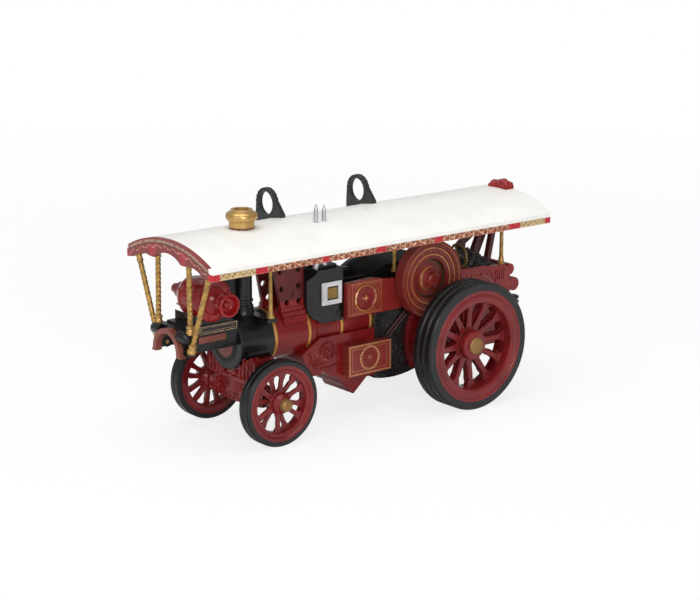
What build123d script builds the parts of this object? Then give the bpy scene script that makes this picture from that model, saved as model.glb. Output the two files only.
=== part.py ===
"""Die-cast toy of a showman's road engine, about 1:76, in millimetres.

+X points forward, +Y to the engine's left and +Z up.  The origin is on the ground, under the middle of
the toy.  Three bodies move: the front axle's carrier swivels on a rivet under the smokebox, the front
wheels roll in it and the rear wheels roll in the hornplates.
"""
from build123d import *
import math
import os

# Running gear
rear_axle_x = -21.1
wheelbase = 48.3
axle_pin_r = 0.9
rear_tyre_r = 14.0
rear_rim_r = 12.2
rear_rim_bore_r = 9.6
rear_hub_r = 3.3
rear_face_y = 19.35
rear_width = 5.6
rear_hub_in = 1.4
rear_spokes = 12
front_tyre_r = 9.0
front_rim_r = 7.9
front_rim_bore_r = 6.1
front_hub_r = 2.3
front_face_y = 13.8
front_width = 3.0
front_hub_out = 0.4
front_spokes = 6
beam_depth = 4.4
rivet_r = 0.9

# Boiler and smokebox
boiler_z = 20.0
boiler_r = 5.5
rear_course_r = 5.2
boiler_front_back = 4.2
front_course = 11.5
firebox_ahead = 17.9
smokebox_length = 8.6
smokebox_r = 5.6
door_ring = 0.3
door_r = 4.3
band_width = 0.75
band_height = 0.25
chimney_r = 2.0
chimney_behind_door = 4.5

# Front platform and dynamo
platform_half = 4.6
platform_length = 11.0
platform_bottom_z = 20.2
platform_top_z = 25.4
arch_r = 3.65
arch_wall = 1.0
arch_z = 20.35
nose_out = 2.1
nose_half = 6.4
nose_r = 1.25
nose_z = 23.9
lip_length = 1.5
lug_y = 5.7
lug_r = 1.1
dynamo_ahead = 5.9
dynamo_r = 4.5
dynamo_half = 4.8
dynamo_z = 30.4
dynamo_flat = 3.6
pulley_r = 2.35
pulley_width = 3.0
pulley_out = 2.6

# Works on the boiler
stay_y = 3.6
stay_thickness = 0.8
cylinder_length = 8.6
cylinder_half = 6.0
cylinder_top_z = 33.0
cylinder_bottom_z = 21.6
motion_y = 7.5
motion_thickness = 1.3
motion_bottom_z = 22.1
motion_top_z = 29.5
guard_top_z = 31.4
crank_behind = 12.4
crank_z = 27.95
crankshaft_r = 0.8
flywheel_r = 8.4
flywheel_width = 2.5
flywheel_gap = 0.2

# Lower body and tender
firebox_half = 6.0
firebox_length = 11.8
firebox_bottom_z = 6.6
belly_half = 5.8
belly_top_z = 18.4
box_y = 8.0
box_bottom_z = 9.3
box_top_z = 15.9
box_back = 2.9
box_ahead = 8.55
tender_half = 7.2
tender_length = 14.2
tender_behind_axle = 6.1
tender_floor_z = 9.5
tender_wall = 0.9
coal_top_z = 30.4
steering_r = 2.6

# Roof
roof_rear_x = -46.1
roof_length = 91.4
roof_width = 30.2
roof_corner_r = 0.6
fascia_bottom_z = 37.2
fascia_height = 2.1
fascia_thickness = 0.8
crown_z = 43.1
roof_thickness = 0.7
pillar_r = 0.5
inner_pillar_y = 5.4
outer_pillar_y = 13.2
spring_z = 38.7
side_pillar_r = 0.4
pipe_r = 0.5
pipe_foot_r = 0.75
pipe_y = 4.0

# Chimney-tube rings on the roof
ring_x = (14.0, -10.6)
ring_y = -8.9
ring_z = 45.3
ring_bore_r = 2.5
ring_wall = 0.75
ring_foot = 2.3
ring_thickness = 1.1

# Clearances
seat = 0.05
running = 0.08
press = 0.02

# Worked out
front_axle_x = rear_axle_x + wheelbase
boiler_front_x = front_axle_x - boiler_front_back
smokebox_front_x = boiler_front_x + smokebox_length
firebox_front_x = rear_axle_x + firebox_ahead
firebox_back_x = firebox_front_x - firebox_length
course_end_x = boiler_front_x - front_course
chimney_x = smokebox_front_x - chimney_behind_door
smokebox_top_z = boiler_z + smokebox_r - 0.2
platform_front_x = smokebox_front_x + platform_length
nose_x = platform_front_x + nose_out
dynamo_x = smokebox_front_x + dynamo_ahead
cylinder_front_x = course_end_x + 2.6
cylinder_back_x = cylinder_front_x - cylinder_length
motion_back_x = firebox_front_x - 6.0
crank_x = firebox_front_x - crank_behind
flywheel_y = motion_y + flywheel_gap
tender_front_x = rear_axle_x - tender_behind_axle
tender_back_x = tender_front_x - tender_length
tender_top_z = tender_floor_z + 18.4
saddle_z = front_tyre_r + beam_depth / 2 + 0.9
roof_front_x = roof_rear_x + roof_length
roof_mid_x = (roof_rear_x + roof_front_x) / 2
roof_half = roof_width / 2
edge_z = fascia_bottom_z + fascia_height
roof_arc_r = (roof_half ** 2 + (crown_z - edge_z) ** 2) / (2 * (crown_z - edge_z))
roof_axis_z = crown_z - roof_arc_r
pipe_x = (cylinder_front_x - 3.0, cylinder_front_x - 5.1)
board_half = roof_half - max(roof_corner_r, fascia_thickness + 0.1)
band_x = (boiler_front_x - band_width, course_end_x + 2.0, cylinder_back_x - band_width,
          firebox_front_x + 0.1)


def roof_under_z(y):
    """Height of the roof's underside at a distance y from the middle."""
    return roof_axis_z + math.sqrt((roof_arc_r - roof_thickness) ** 2 - y ** 2)


def roof_top_z(y):
    """Height of the roof's top at a distance y from the middle."""
    return roof_axis_z + math.sqrt(roof_arc_r ** 2 - y ** 2)


# Ways of making a solid

def side_face(edges, y):
    """Face of (x, z) edges on the plane at a width y, facing right."""
    return Plane((0, y, 0), x_dir=(1, 0, 0), z_dir=(0, -1, 0)) * make_face(edges)


def side_plate(outline, y0, y1):
    """Prism of an (x, z) outline between two widths."""
    return extrude(side_face(Polyline(*outline, close=True), y1), amount=y1 - y0)


def cross_plate(outline, x0, x1):
    """Prism of a (y, z) outline between two stations along the engine."""
    plane = Plane((x0, 0, 0), x_dir=(0, 1, 0), z_dir=(1, 0, 0))
    return extrude(plane * make_face(Polyline(*outline, close=True)), amount=x1 - x0)


def block(x0, x1, y0, y1, z0, z1):
    """Box between its limits."""
    return Pos((x0 + x1) / 2, (y0 + y1) / 2, (z0 + z1) / 2) * Box(x1 - x0, y1 - y0, z1 - z0)


def rod_x(x0, x1, y, z, r):
    return Pos((x0 + x1) / 2, y, z) * Rot(0, 90, 0) * Cylinder(r, x1 - x0)


def rod_y(x, y0, y1, z, r):
    return Pos(x, (y0 + y1) / 2, z) * Rot(90, 0, 0) * Cylinder(r, y1 - y0)


def rod_z(x, y, z0, z1, r):
    return Pos(x, y, (z0 + z1) / 2) * Cylinder(r, z1 - z0)


def leaning_rod(start, end, r):
    """Round rod between two points."""
    a = Vector(*start)
    b = Vector(*end)
    return extrude(Plane(origin=a, z_dir=b - a) * Circle(r), amount=(b - a).length)


def turned_y(profile, x, z):
    """Solid of revolution about a cross axis, from (radius, y) points."""
    return Pos(x, 0, z) * revolve(make_face(Polyline(*profile, close=True)), Axis.Y, 360)


def turned_x(profile):
    """Solid of revolution about the boiler's line, from (x, radius) points."""
    return Pos(0, 0, boiler_z) * revolve(make_face(Polyline(*profile, close=True)), Axis.X, 360)


def turned_z(profile, x, y):
    """Solid of revolution about an upright, from (radius, z) points."""
    return Pos(x, y, 0) * revolve(Plane.XZ * make_face(Polyline(*profile, close=True)), Axis.Z, 360)


def mirrored(solid):
    return mirror(solid, Plane.XZ)


# Wheels

def spoke(hub_r, hub_y, rim_r, rim_y, hub_width, rim_width, thickness):
    """Flared bar from the hub to the rim, standing upright over the axle."""
    near_hub = Plane((0, hub_y, hub_r - 0.4), x_dir=(1, 0, 0), z_dir=(0, 0, 1))
    near_rim = Plane((0, rim_y, rim_r + 0.3), x_dir=(1, 0, 0), z_dir=(0, 0, 1))
    return loft([near_hub * Rectangle(hub_width, thickness), near_rim * Rectangle(rim_width, thickness)])


def spoked_wheel(x, z, face_y, width, rim_r, bore_r, hub_r, hub_proud, spokes, spoke_w, outer_turn, inner_turn):
    """Left wheel: flanged rim with a bevelled face, two rows of spokes and a turned hub."""
    inner_y = face_y - width
    bevel = 0.35
    well = width * 0.09
    rim = turned_y([(bore_r, face_y - bevel), (bore_r + bevel, face_y), (rim_r - press, face_y),
                    (rim_r - press, inner_y), (bore_r + bevel, inner_y), (bore_r, inner_y + bevel),
                    (bore_r, inner_y + width * 0.3), (bore_r + well, inner_y + width * 0.3 + well),
                    (bore_r + well, face_y - width * 0.3 - well), (bore_r, face_y - width * 0.3)], x, z)
    hub_out = face_y + hub_proud
    bore = axle_pin_r + press
    hub = turned_y([(bore, hub_out), (hub_r * 0.72, hub_out), (hub_r * 0.78, hub_out - 0.3),
                    (hub_r, hub_out - 0.7), (hub_r, inner_y + 0.4), (hub_r * 0.8, inner_y - 0.5),
                    (bore, inner_y - 0.5)], x, z)
    thickness = spoke_w * 0.75
    outer = spoke(hub_r, face_y - width * 0.36, bore_r, face_y - width * 0.28, spoke_w, spoke_w * 1.2, thickness)
    inner = spoke(hub_r, inner_y + width * 0.14, bore_r, inner_y + width * 0.28, spoke_w, spoke_w * 1.2, thickness)
    wheel = rim + hub
    for i in range(spokes):
        wheel += Pos(x, 0, z) * Rot(0, outer_turn + i * 360 / spokes, 0) * outer
        wheel += Pos(x, 0, z) * Rot(0, inner_turn + i * 360 / spokes, 0) * inner
    return wheel


def tyre(x, z, face_y, width, tyre_r, rim_r, grooves, depth):
    """Left tyre: a ring with rounded shoulders and V grooves round the tread."""
    inner_y = face_y - width
    shoulder = 0.35
    profile = [(rim_r, inner_y), (rim_r, face_y), (tyre_r - shoulder, face_y), (tyre_r, face_y - shoulder)]
    for i in range(grooves):
        mid = face_y - width * (i + 1) / (grooves + 1)
        profile += [(tyre_r, mid + depth), (tyre_r - depth, mid), (tyre_r, mid - depth)]
    profile += [(tyre_r, inner_y + shoulder), (tyre_r - shoulder, inner_y)]
    return turned_y(profile, x, z)


def rear_wheel():
    return spoked_wheel(rear_axle_x, rear_tyre_r, rear_face_y, rear_width, rear_rim_r, rear_rim_bore_r,
                        rear_hub_r, -rear_hub_in, rear_spokes, 1.3, 2, 4)


def rear_tyre():
    return tyre(rear_axle_x, rear_tyre_r, rear_face_y, rear_width, rear_tyre_r, rear_rim_r, 2, 0.35)


def front_wheel():
    return spoked_wheel(front_axle_x, front_tyre_r, front_face_y, front_width, front_rim_r, front_rim_bore_r,
                        front_hub_r, front_hub_out, front_spokes, 1.4, 54, 18)


def front_tyre():
    return tyre(front_axle_x, front_tyre_r, front_face_y, front_width, front_tyre_r, front_rim_r, 1, 0.2)


def hub_caps(x, z, hub_out, r, height):
    """Domed cap over each end of an axle pin."""
    cap = turned_y([(0, hub_out), (r, hub_out), (r, hub_out + height * 0.45), (r * 0.86, hub_out + height * 0.8),
                    (r * 0.5, hub_out + height), (0, hub_out + height)], x, z)
    return Compound([cap, mirrored(cap)])


def axle_pin(x, z, half):
    return rod_y(x, -half, half, z, axle_pin_r)


# Boiler line

def boiler_clearance():
    """Barrel with its bands, a seat's gap larger, to cut what sits on it."""
    cut = rod_x(firebox_front_x - 20, course_end_x + 2.0, 0, boiler_z, rear_course_r + seat)
    cut += rod_x(course_end_x - seat, smokebox_front_x, 0, boiler_z, boiler_r + seat)
    for i, x in enumerate(band_x):
        r = boiler_r if i < 2 else rear_course_r
        cut += rod_x(x - seat, x + band_width + seat, 0, boiler_z, r + band_height + seat)
    return cut


def boiler_barrel():
    """Wide front course that rounds down to the rear course."""
    back = Line((firebox_front_x, 0), (firebox_front_x, rear_course_r))
    rear = Line((firebox_front_x, rear_course_r), (course_end_x, rear_course_r))
    turn = ThreePointArc((course_end_x, rear_course_r), (course_end_x + 0.3, boiler_r - 0.08),
                         (course_end_x + 1.2, boiler_r))
    front = Line((course_end_x + 1.2, boiler_r), (boiler_front_x, boiler_r))
    end = Line((boiler_front_x, boiler_r), (boiler_front_x, 0))
    axis = Line((boiler_front_x, 0), (firebox_front_x, 0))
    return Pos(0, 0, boiler_z) * revolve(make_face([back, rear, turn, front, end, axis]), Axis.X, 360)


def boiler_bands():
    bands = []
    for i, x in enumerate(band_x):
        r = boiler_r if i < 2 else rear_course_r
        bands.append(turned_x([(x, r + press), (x + band_width, r + press), (x + band_width, r + band_height * 0.7),
                               (x + band_width * 0.75, r + band_height), (x + band_width * 0.25, r + band_height),
                               (x, r + band_height * 0.7)]))
    return Compound(bands)


def smokebox():
    """Smokebox drum with its door ring, the chimney's flared seat and the feet of the side pillars."""
    ring_r = smokebox_r + door_ring
    body = turned_x([(boiler_front_x, 0), (boiler_front_x, smokebox_r), (smokebox_front_x - 1.1, smokebox_r),
                     (smokebox_front_x - 0.9, ring_r), (smokebox_front_x - 0.25, ring_r),
                     (smokebox_front_x, ring_r - 0.25), (smokebox_front_x, door_r), (smokebox_front_x - 0.4, door_r),
                     (smokebox_front_x - 0.4, 0)])
    seat_r = smokebox_r * 0.62
    foot = Line((0, boiler_z + 3.0), (seat_r, boiler_z + 3.0))
    side = Line((seat_r, boiler_z + 3.0), (seat_r, boiler_z + 4.4))
    flare = ThreePointArc((seat_r, boiler_z + 4.4), (chimney_r + 0.55, boiler_z + 5.2),
                          (chimney_r + 0.3, boiler_z + 6.6))
    top = Line((chimney_r + 0.3, boiler_z + 6.6), (0, boiler_z + 6.6))
    axis = Line((0, boiler_z + 6.6), (0, boiler_z + 3.0))
    flare_face = Plane.XZ * make_face([foot, side, flare, top, axis])
    body += Pos(chimney_x, 0, 0) * revolve(flare_face, Axis.Z, 360)
    arm_x = chimney_x - 1.3
    arm = cross_plate([(-8.5, smokebox_top_z + 0.1), (8.5, smokebox_top_z + 0.1), (8.5, smokebox_top_z - 0.7),
                       (4.2, smokebox_top_z - 2.6), (-4.2, smokebox_top_z - 2.6), (-8.5, smokebox_top_z - 0.7)],
                      arm_x - 1.2, arm_x + 1.2)
    return body + arm


def smokebox_door():
    """Dished door in the ring, with its centre boss."""
    x = smokebox_front_x - 0.4 + press
    rim = Line((x, 0), (x, door_r - press))
    side = Line((x, door_r - press), (x + 0.35, door_r - press))
    dish = ThreePointArc((x + 0.35, door_r - press), (x + 0.95, door_r * 0.55), (x + 1.15, 0.7))
    boss = Line((x + 1.15, 0.7), (x + 1.5, 0.7))
    cap = Line((x + 1.5, 0.7), (x + 1.5, 0))
    axis = Line((x + 1.5, 0), (x, 0))
    return Pos(0, 0, boiler_z) * revolve(make_face([rim, side, dish, boss, cap, axis]), Axis.X, 360)


def chimney():
    """Slightly waisted chimney with its lower collar, up to the roof."""
    base = boiler_z + 6.6
    top = roof_under_z(chimney_r) - seat
    collar = base + 1.1
    return turned_z([(0, base), (chimney_r + 0.25, base), (chimney_r + 0.25, base + 0.4), (chimney_r, base + 0.6),
                     (chimney_r, collar), (chimney_r + 0.2, collar + 0.15), (chimney_r + 0.2, collar + 0.5),
                     (chimney_r, collar + 0.7), (chimney_r, top), (0, top)], chimney_x, 0)


def chimney_web():
    """Thin upright web in front of the chimney."""
    x0 = chimney_x + chimney_r
    z0 = smokebox_top_z + 1.2
    top = roof_under_z(0.4) - seat
    web = side_plate([(x0 - 0.5, z0 + 2.0), (x0 + 1.0, z0), (x0 + 2.6, z0 + 1.4), (x0 + 3.6, top - 5.0),
                      (x0 + 3.6, top), (x0 - 0.5, top)], -0.35, 0.35)
    return web


def chimney_cap():
    """Turned cap over the roof: plain foot, bulging crown and a top ring round the bore."""
    z = crown_z + seat
    low = Polyline((0, z), (2.65, z), (2.65, z + 1.45))
    bulge = ThreePointArc((2.65, z + 1.45), (3.3, z + 2.45), (2.65, z + 3.35))
    high = Polyline((2.65, z + 3.35), (2.27, z + 3.5), (2.27, z + 3.85), (1.6, z + 3.85), (1.6, z + 3.2),
                    (0, z + 3.2), (0, z))
    return Pos(chimney_x, 0, 0) * revolve(Plane.XZ * make_face([low, bulge, high]), Axis.Z, 360)


# Front platform with the dynamo

def dynamo_platform():
    """Black vaulted casting in front of the smokebox, with a round cross-beam for a nose and a lug at each side."""
    half = platform_half
    x0 = smokebox_front_x + press
    body = block(x0, platform_front_x, -half, half, platform_bottom_z, platform_top_z)
    body += block(platform_front_x, nose_x + 0.3, 0.8 - lug_y, lug_y - 0.8, platform_bottom_z, nose_z + nose_r - 0.1)
    body += turned_y([(0, -nose_half), (nose_r * 0.55, -nose_half + 0.1), (nose_r * 0.88, -nose_half + 0.45),
                      (nose_r, -nose_half + 1.0), (nose_r, nose_half - 1.0), (nose_r * 0.88, nose_half - 0.45),
                      (nose_r * 0.55, nose_half - 0.1), (0, nose_half)], nose_x, nose_z)
    for s in (1, -1):
        body += rod_z(nose_x - 0.95, s * lug_y, platform_bottom_z, platform_bottom_z + lug_r, lug_r)
        body -= block(smokebox_front_x + 0.6, platform_front_x - 1.8, s * half - 0.15, s * half + 0.15,
                      platform_top_z - 1.4, platform_top_z - 0.2)
    body -= rod_x(x0 - 1, smokebox_front_x + 1.6, 0, boiler_z, door_r + seat)
    body -= rod_x(x0 - 1, nose_x + 5, 0, arch_z, arch_r)
    body -= block(x0 - 1, nose_x + 5, -arch_r, arch_r, platform_bottom_z - 5, arch_z)
    outer = arch_r + arch_wall + press
    lip_x = nose_x - 0.1 - press
    body -= rod_x(lip_x, nose_x + 5, 0, arch_z, outer)
    body -= block(lip_x, nose_x + 5, -3.2, 3.2, arch_z, crown_z)
    body -= block(lip_x, nose_x + 5, -outer, outer, platform_bottom_z - 5, arch_z)
    for s in (1, -1):
        body += rod_y(nose_x - 1.2, s * arch_r - 0.45, s * arch_r + 0.45, arch_z + 0.9, 1.1)
    return body - front_pillars()


def platform_arch():
    """Copper lip round the mouth of the platform's vault, with flared feet."""
    outer = arch_r + arch_wall
    x0 = nose_x - 0.1
    x1 = x0 + lip_length
    lip = rod_x(x0, x1, 0, arch_z, outer) - rod_x(x0 - 1, x1 + 1, 0, arch_z, arch_r)
    lip -= block(x0 - 1, x1 + 1, -outer - 1, outer + 1, arch_z - 10, arch_z)
    for s in (1, -1):
        foot = [(s * arch_r, arch_z), (s * outer, arch_z), (s * (outer + 0.5), arch_z - 0.65), (s * arch_r, arch_z - 0.65)]
        lip += cross_plate(foot, x0, x1)
    return lip


def platform_panels():
    """Copper plate let into each side of the platform, under the recessed panel."""
    x0 = smokebox_front_x + 3.1
    plate = block(x0, platform_front_x - 1.3, platform_half, platform_half + 0.2,
                  platform_bottom_z + 1.8, platform_bottom_z + 3.1)
    return Compound([plate, mirrored(plate)])


def dynamo_pedestal():
    """Cradle that the dynamo lies in."""
    body = block(dynamo_x - 3.4, dynamo_x + 3.4, -dynamo_half + 0.6, dynamo_half - 0.6, platform_top_z - 0.1,
                 dynamo_z - dynamo_r * 0.45)
    return body - rod_y(dynamo_x, -9, 9, dynamo_z, dynamo_r + seat)


def dynamo():
    """Drum with a short bell at its pulley end, a long tapering one at the other and a flat-topped yoke."""
    r = dynamo_r
    end = dynamo_half
    shaft = end + pulley_out
    profile = [(0, -shaft - 1.8), (1.1, -shaft - 1.8), (1.1, -shaft - 0.6), (1.8, -shaft - 0.5), (1.8, -end - 2.2),
               (2.1, -end - 1.9), (2.8, -end - 0.8), (3.9, -end + 0.6), (r, -end + 1.3), (r, end - 0.4),
               (r - 0.3, end), (r - 0.9, end), (2.6, end + 0.7), (1.5, end + 1.3), (1.1, shaft), (0, shaft)]
    drum = turned_y(profile, dynamo_x, dynamo_z)
    flat_z = dynamo_z + dynamo_flat
    drum += cross_plate([(-end + 1.6, dynamo_z + 1), (end - 0.6, dynamo_z + 1), (end - 0.6, flat_z),
                         (-end + 1.6, flat_z)], dynamo_x - 3.1, dynamo_x + 3.1)
    return drum - block(dynamo_x - 9, dynamo_x + 9, -end - 9, end + 9, flat_z, flat_z + 9)


def dynamo_pulley():
    """Cupped belt pulley on the left end of the dynamo's shaft."""
    y0 = dynamo_half + pulley_out
    y1 = y0 + pulley_width
    r = pulley_r
    return turned_y([(0, y0), (r - 0.6, y0), (r - 0.1, y0 + 0.4), (r - 0.25, y0 + pulley_width / 2), (r, y1 - 0.3),
                     (r - 0.15, y1), (r - 0.6, y1), (r - 0.9, y1 - 1.3), (0.7, y1 - 1.5), (0.7, y1 - 0.9),
                     (0, y1 - 0.9)], dynamo_x, dynamo_z)


# Works on the boiler

def stay_plate():
    """Left perforated stay between the boiler and the roof, on a stepped saddle over the barrel."""
    y1 = stay_y
    y0 = stay_y - stay_thickness
    x0 = cylinder_front_x
    top = roof_under_z(y1) - seat
    plate = side_plate([(x0, boiler_z), (x0 + 5.9, boiler_z), (x0 + 5.9, 26.2), (x0 + 7.2, 32.5), (x0 + 8.4, top),
                        (x0, top)], y0, y1)
    saddle = cross_plate([(y0, 25.7), (y1 + 0.25, 25.7), (y1 + 0.3, 24.9), (y1 + 0.75, 24.8), (y1 + 0.8, 24.0),
                          (y1 + 1.2, 23.9), (y1 + 1.25, 23.2), (y1 + 1.6, 22.6), (y0, 22.0)], x0, x0 + 6.0)
    plate = plate + saddle - boiler_clearance()
    for along, z in [(5.6, 29.8), (1.3, 29.9), (4.3, 26.7), (1.2, 26.7), (1.4, 33.4), (6.0, 33.6)]:
        plate -= rod_y(x0 + along, y0 - 1, y1 + 1, z, 0.65)
    return plate - rod_y(x0 + 3.0, y1 - 0.25, y1 + 1, 28.4, 0.6)


def cylinder_block():
    """Black casting over the boiler, with bevelled front edges and a chest lid."""
    half = cylinder_half
    x0 = cylinder_back_x
    x1 = cylinder_front_x
    bevel = 1.3
    body = side_plate([(x0, cylinder_bottom_z), (x1 - 3.2, cylinder_bottom_z), (x1 - 0.8, cylinder_bottom_z + 1.3),
                       (x1, cylinder_bottom_z + 3.2), (x1, cylinder_top_z - 2.2), (x1 - 2.0, cylinder_top_z),
                       (x0, cylinder_top_z)], -half, half)
    plan = Polyline((x0, -half), (x1 - bevel, -half), (x1, -half + bevel), (x1, half - bevel), (x1 - bevel, half),
                    (x0, half), (x0, -half))
    body = body & Pos(0, 0, cylinder_bottom_z - 1) * extrude(make_face(plan), amount=20)
    body += block(x0 + 0.8, x1 - 3.0, -half + 1.2, half - 1.2, cylinder_top_z - 0.1, cylinder_top_z + 0.6)
    body += rod_y(x0 + 1.2, -half - 0.25, half + 0.25, cylinder_bottom_z + 1.7, 0.45)
    body -= boiler_clearance()
    for s in (1, -1):
        for x in pipe_x:
            body -= rod_z(x, s * pipe_y, cylinder_top_z - 0.5, cylinder_top_z + 2, pipe_foot_r + press)
    return body


def valve_frame():
    """White frame round the valve chest's plate, on the left side."""
    x0 = cylinder_back_x + 0.6
    y = cylinder_half
    frame = block(x0, x0 + 5.15, y, y + 0.4, 25.45, 30.25)
    return frame - block(x0 + 0.86, x0 + 3.85, y - 0.1, y + 0.5, 26.4, 29.3)


def valve_plate():
    x0 = cylinder_back_x + 1.78
    y = cylinder_half
    return block(x0, x0 + 2.37, y, y + 0.25, 26.7, 28.95)


def safety_pipes():
    """Two pins from the cylinder block up through the roof, drawn out to a point."""
    pipes = []
    for x, proud in zip(pipe_x, (3.9, 3.5)):
        under = roof_under_z(pipe_y + pipe_foot_r) - 0.4
        top = roof_top_z(pipe_y) + proud
        pipe = turned_z([(0, cylinder_top_z - 0.5), (pipe_foot_r, cylinder_top_z - 0.5), (pipe_foot_r, under - 0.3),
                         (pipe_r, under), (pipe_r, top - 2.4), (pipe_r * 0.8, top - 1.2), (pipe_r * 0.45, top - 0.4),
                         (0, top)], x, pipe_y)
        pipes.append(pipe)
    return Compound(pipes)


def motion_panel():
    """Left side panel of the motion, with a bevelled front edge and its round boss."""
    y1 = motion_y
    y0 = y1 - motion_thickness
    x0 = motion_back_x
    x1 = cylinder_back_x - press
    panel = side_plate([(x0, motion_bottom_z), (x1, motion_bottom_z), (x1, motion_top_z), (x1 - 7.0, motion_top_z + 0.3),
                        (x0 + 3.0, motion_top_z - 0.6), (x0 + 1.2, motion_top_z - 0.6), (x0, motion_top_z - 3.0)],
                       y0, y1)
    panel -= block(x1 - 0.9, x1 - 0.6, y1 - 0.15, y1 + 1, motion_bottom_z - 1, motion_top_z + 1)
    boss = turned_y([(0, y1 - 0.1), (2.95, y1 - 0.1), (2.95, y1 + 0.3), (2.65, y1 + 0.45), (2.35, y1 + 0.3),
                     (2.2, y1 + 0.08), (0.9, y1 + 0.12), (0.6, y1 + 0.45), (0, y1 + 0.5)], x1 - 4.7, 25.85)
    return panel + boss


def motion_works():
    """Bed between the panels, with the slide bars, crossheads and rods, under the guard over the crank."""
    y = motion_y - motion_thickness - press
    x0 = motion_back_x
    x1 = cylinder_back_x - press
    bed = side_plate([(x0, motion_bottom_z), (x1, motion_bottom_z), (x1, 27.2), (x0, 26.4)], -y, y)
    bed -= boiler_clearance()
    for s in (1, -1):
        bed += block(x0 + 2.0, x1, s * 3.0 - 0.5, s * 3.0 + 0.5, 26.0, 27.9)
        bed += block(x0 + 2.0, x1, s * 3.0 - 0.4, s * 3.0 + 0.4, 28.9, 29.5)
    top = guard_top_z
    guard = side_plate([(x0 - 3.9, top), (x0 + 1.8, top), (x0 + 5.0, top - 1.2), (x0 + 6.4, top - 3.4),
                        (x0 + 6.4, 26.6), (x0, 26.0), (x0, 24.5 + press), (x0 - 3.9, 24.5 + press)], -4.4, 4.4)
    guard += block(x0 - 3.9, x0 + 1.2, -5.9, 5.9, 24.5 + press, 29.6)
    back = ThreePointArc((x0 - 10.4, top - 1.4), (x0 - 11.0, top - 0.7), (x0 - 10.4, top))
    lid = Polyline((x0 - 10.4, top), (x0 - 3.0, top), (x0 - 3.0, top - 1.4), (x0 - 10.4, top - 1.4))
    guard += extrude(side_face([back, lid], 5.9), amount=11.8)
    bed += guard
    for s in (1, -1):
        bed += leaning_rod((x0 - 3.5, s * 3.0, 28.4), (crank_x + crankshaft_r + 0.6, s * 3.0, crank_z), 0.45)
    return bed


def crankshaft():
    """Shaft with two crank discs, in the hornplates."""
    shaft = rod_y(crank_x, -tender_half - 1.4, flywheel_y + flywheel_width - 0.3, crank_z, crankshaft_r)
    for y in (-3.0, 3.0):
        shaft += rod_y(crank_x, y - 0.9, y - 0.55, crank_z, 1.9) + rod_y(crank_x, y + 0.55, y + 0.9, crank_z, 1.9)
    return shaft


def flywheel():
    """Solid-faced flywheel: outer rim with two grooves, a dished web and a boss closed over the shaft's end."""
    y0 = flywheel_y
    y1 = y0 + flywheel_width
    r = flywheel_r
    bore = crankshaft_r + press
    return turned_y([(bore, y0), (2.2, y0), (2.2, y0 + 0.6), (r - 1.3, y0 + 0.6), (r - 1.3, y0), (r, y0), (r, y1),
                     (r - 0.5, y1), (r - 0.65, y1 - 0.2), (r - 0.8, y1), (r - 1.3, y1), (r - 1.5, y1 - 0.35),
                     (r - 2.6, y1 - 0.35), (r - 2.75, y1 - 0.15), (r - 2.9, y1 - 0.35), (r - 4.0, y1 - 0.35),
                     (r - 4.3, y1 - 1.1), (2.7, y1 - 1.0), (2.3, y1 - 0.3), (1.7, y1 - 0.1), (1.5, y1 + 0.6),
                     (1.2, y1 + 0.8), (0, y1 + 0.8), (0, y1 - 0.25), (bore, y1 - 0.25)], crank_x, crank_z)


# Lower body

def firebox():
    """Firebox with a rounded ash pan floor."""
    x0 = firebox_back_x
    x1 = firebox_front_x
    sides = Polyline((x1, firebox_bottom_z + 0.6), (x1, motion_bottom_z - press), (motion_back_x, motion_bottom_z - press),
                     (motion_back_x, 24.5), (x0, 24.5), (x0, firebox_bottom_z + 0.9))
    floor = ThreePointArc((x0, firebox_bottom_z + 0.9), ((x0 + x1) / 2, firebox_bottom_z),
                          (x1, firebox_bottom_z + 0.6))
    return extrude(side_face([sides, floor], firebox_half), amount=2 * firebox_half)


def belly_tank():
    """Flat-sided tank under the rear course, with a scalloped lower edge and a drop at its back."""
    x0 = firebox_front_x
    x1 = course_end_x + 4.6
    half = belly_half
    edge = Polyline((x0, firebox_bottom_z + 1.3), (x0, belly_top_z), (course_end_x, belly_top_z),
                    (x1, boiler_z - 4.5), (x1 - 0.6, 13.6), (x1 - 2.9, 10.5), (x1 - 4.4, 10.6), (x1 - 5.4, 11.05))
    scallop = ThreePointArc((x1 - 5.4, 11.05), (x1 - 7.6, 9.75), (x1 - 9.8, 9.0))
    close = Polyline((x1 - 9.8, 9.0), (x1 - 10.6, firebox_bottom_z + 1.3), (x0, firebox_bottom_z + 1.3))
    body = extrude(side_face([edge, scallop, close], half), amount=2 * half)
    boss_x = course_end_x - 0.5
    boss = turned_y([(0, half - 0.1), (1.6, half - 0.1), (1.6, half + 0.1), (1.25, half + 0.28), (0.9, half + 0.1),
                     (0.8, half + 0.02), (0, half + 0.02)], boss_x, 14.1)
    return body - boiler_clearance() + boss + mirrored(boss)


def side_box():
    """Left tool box on the firebox side, with a raised frame and its round ornament."""
    x0 = firebox_front_x - box_back
    x1 = firebox_front_x + box_ahead
    body = block(x0, firebox_front_x, firebox_half + press, box_y, box_bottom_z, box_top_z)
    body += block(firebox_front_x, x1, belly_half + press, box_y, box_bottom_z, box_top_z)
    body = body - block(x0 + 0.5, x1 - 0.5, box_y - 0.12, box_y + 1, box_bottom_z + 0.5, box_top_z - 0.5)
    ring = turned_y([(2.2, box_y - 0.2), (2.7, box_y - 0.2), (2.7, box_y - 0.03), (2.45, box_y + 0.06),
                     (2.2, box_y - 0.03)], (x0 + x1) / 2, (box_bottom_z + box_top_z) / 2 + 0.1)
    return body + ring


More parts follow.
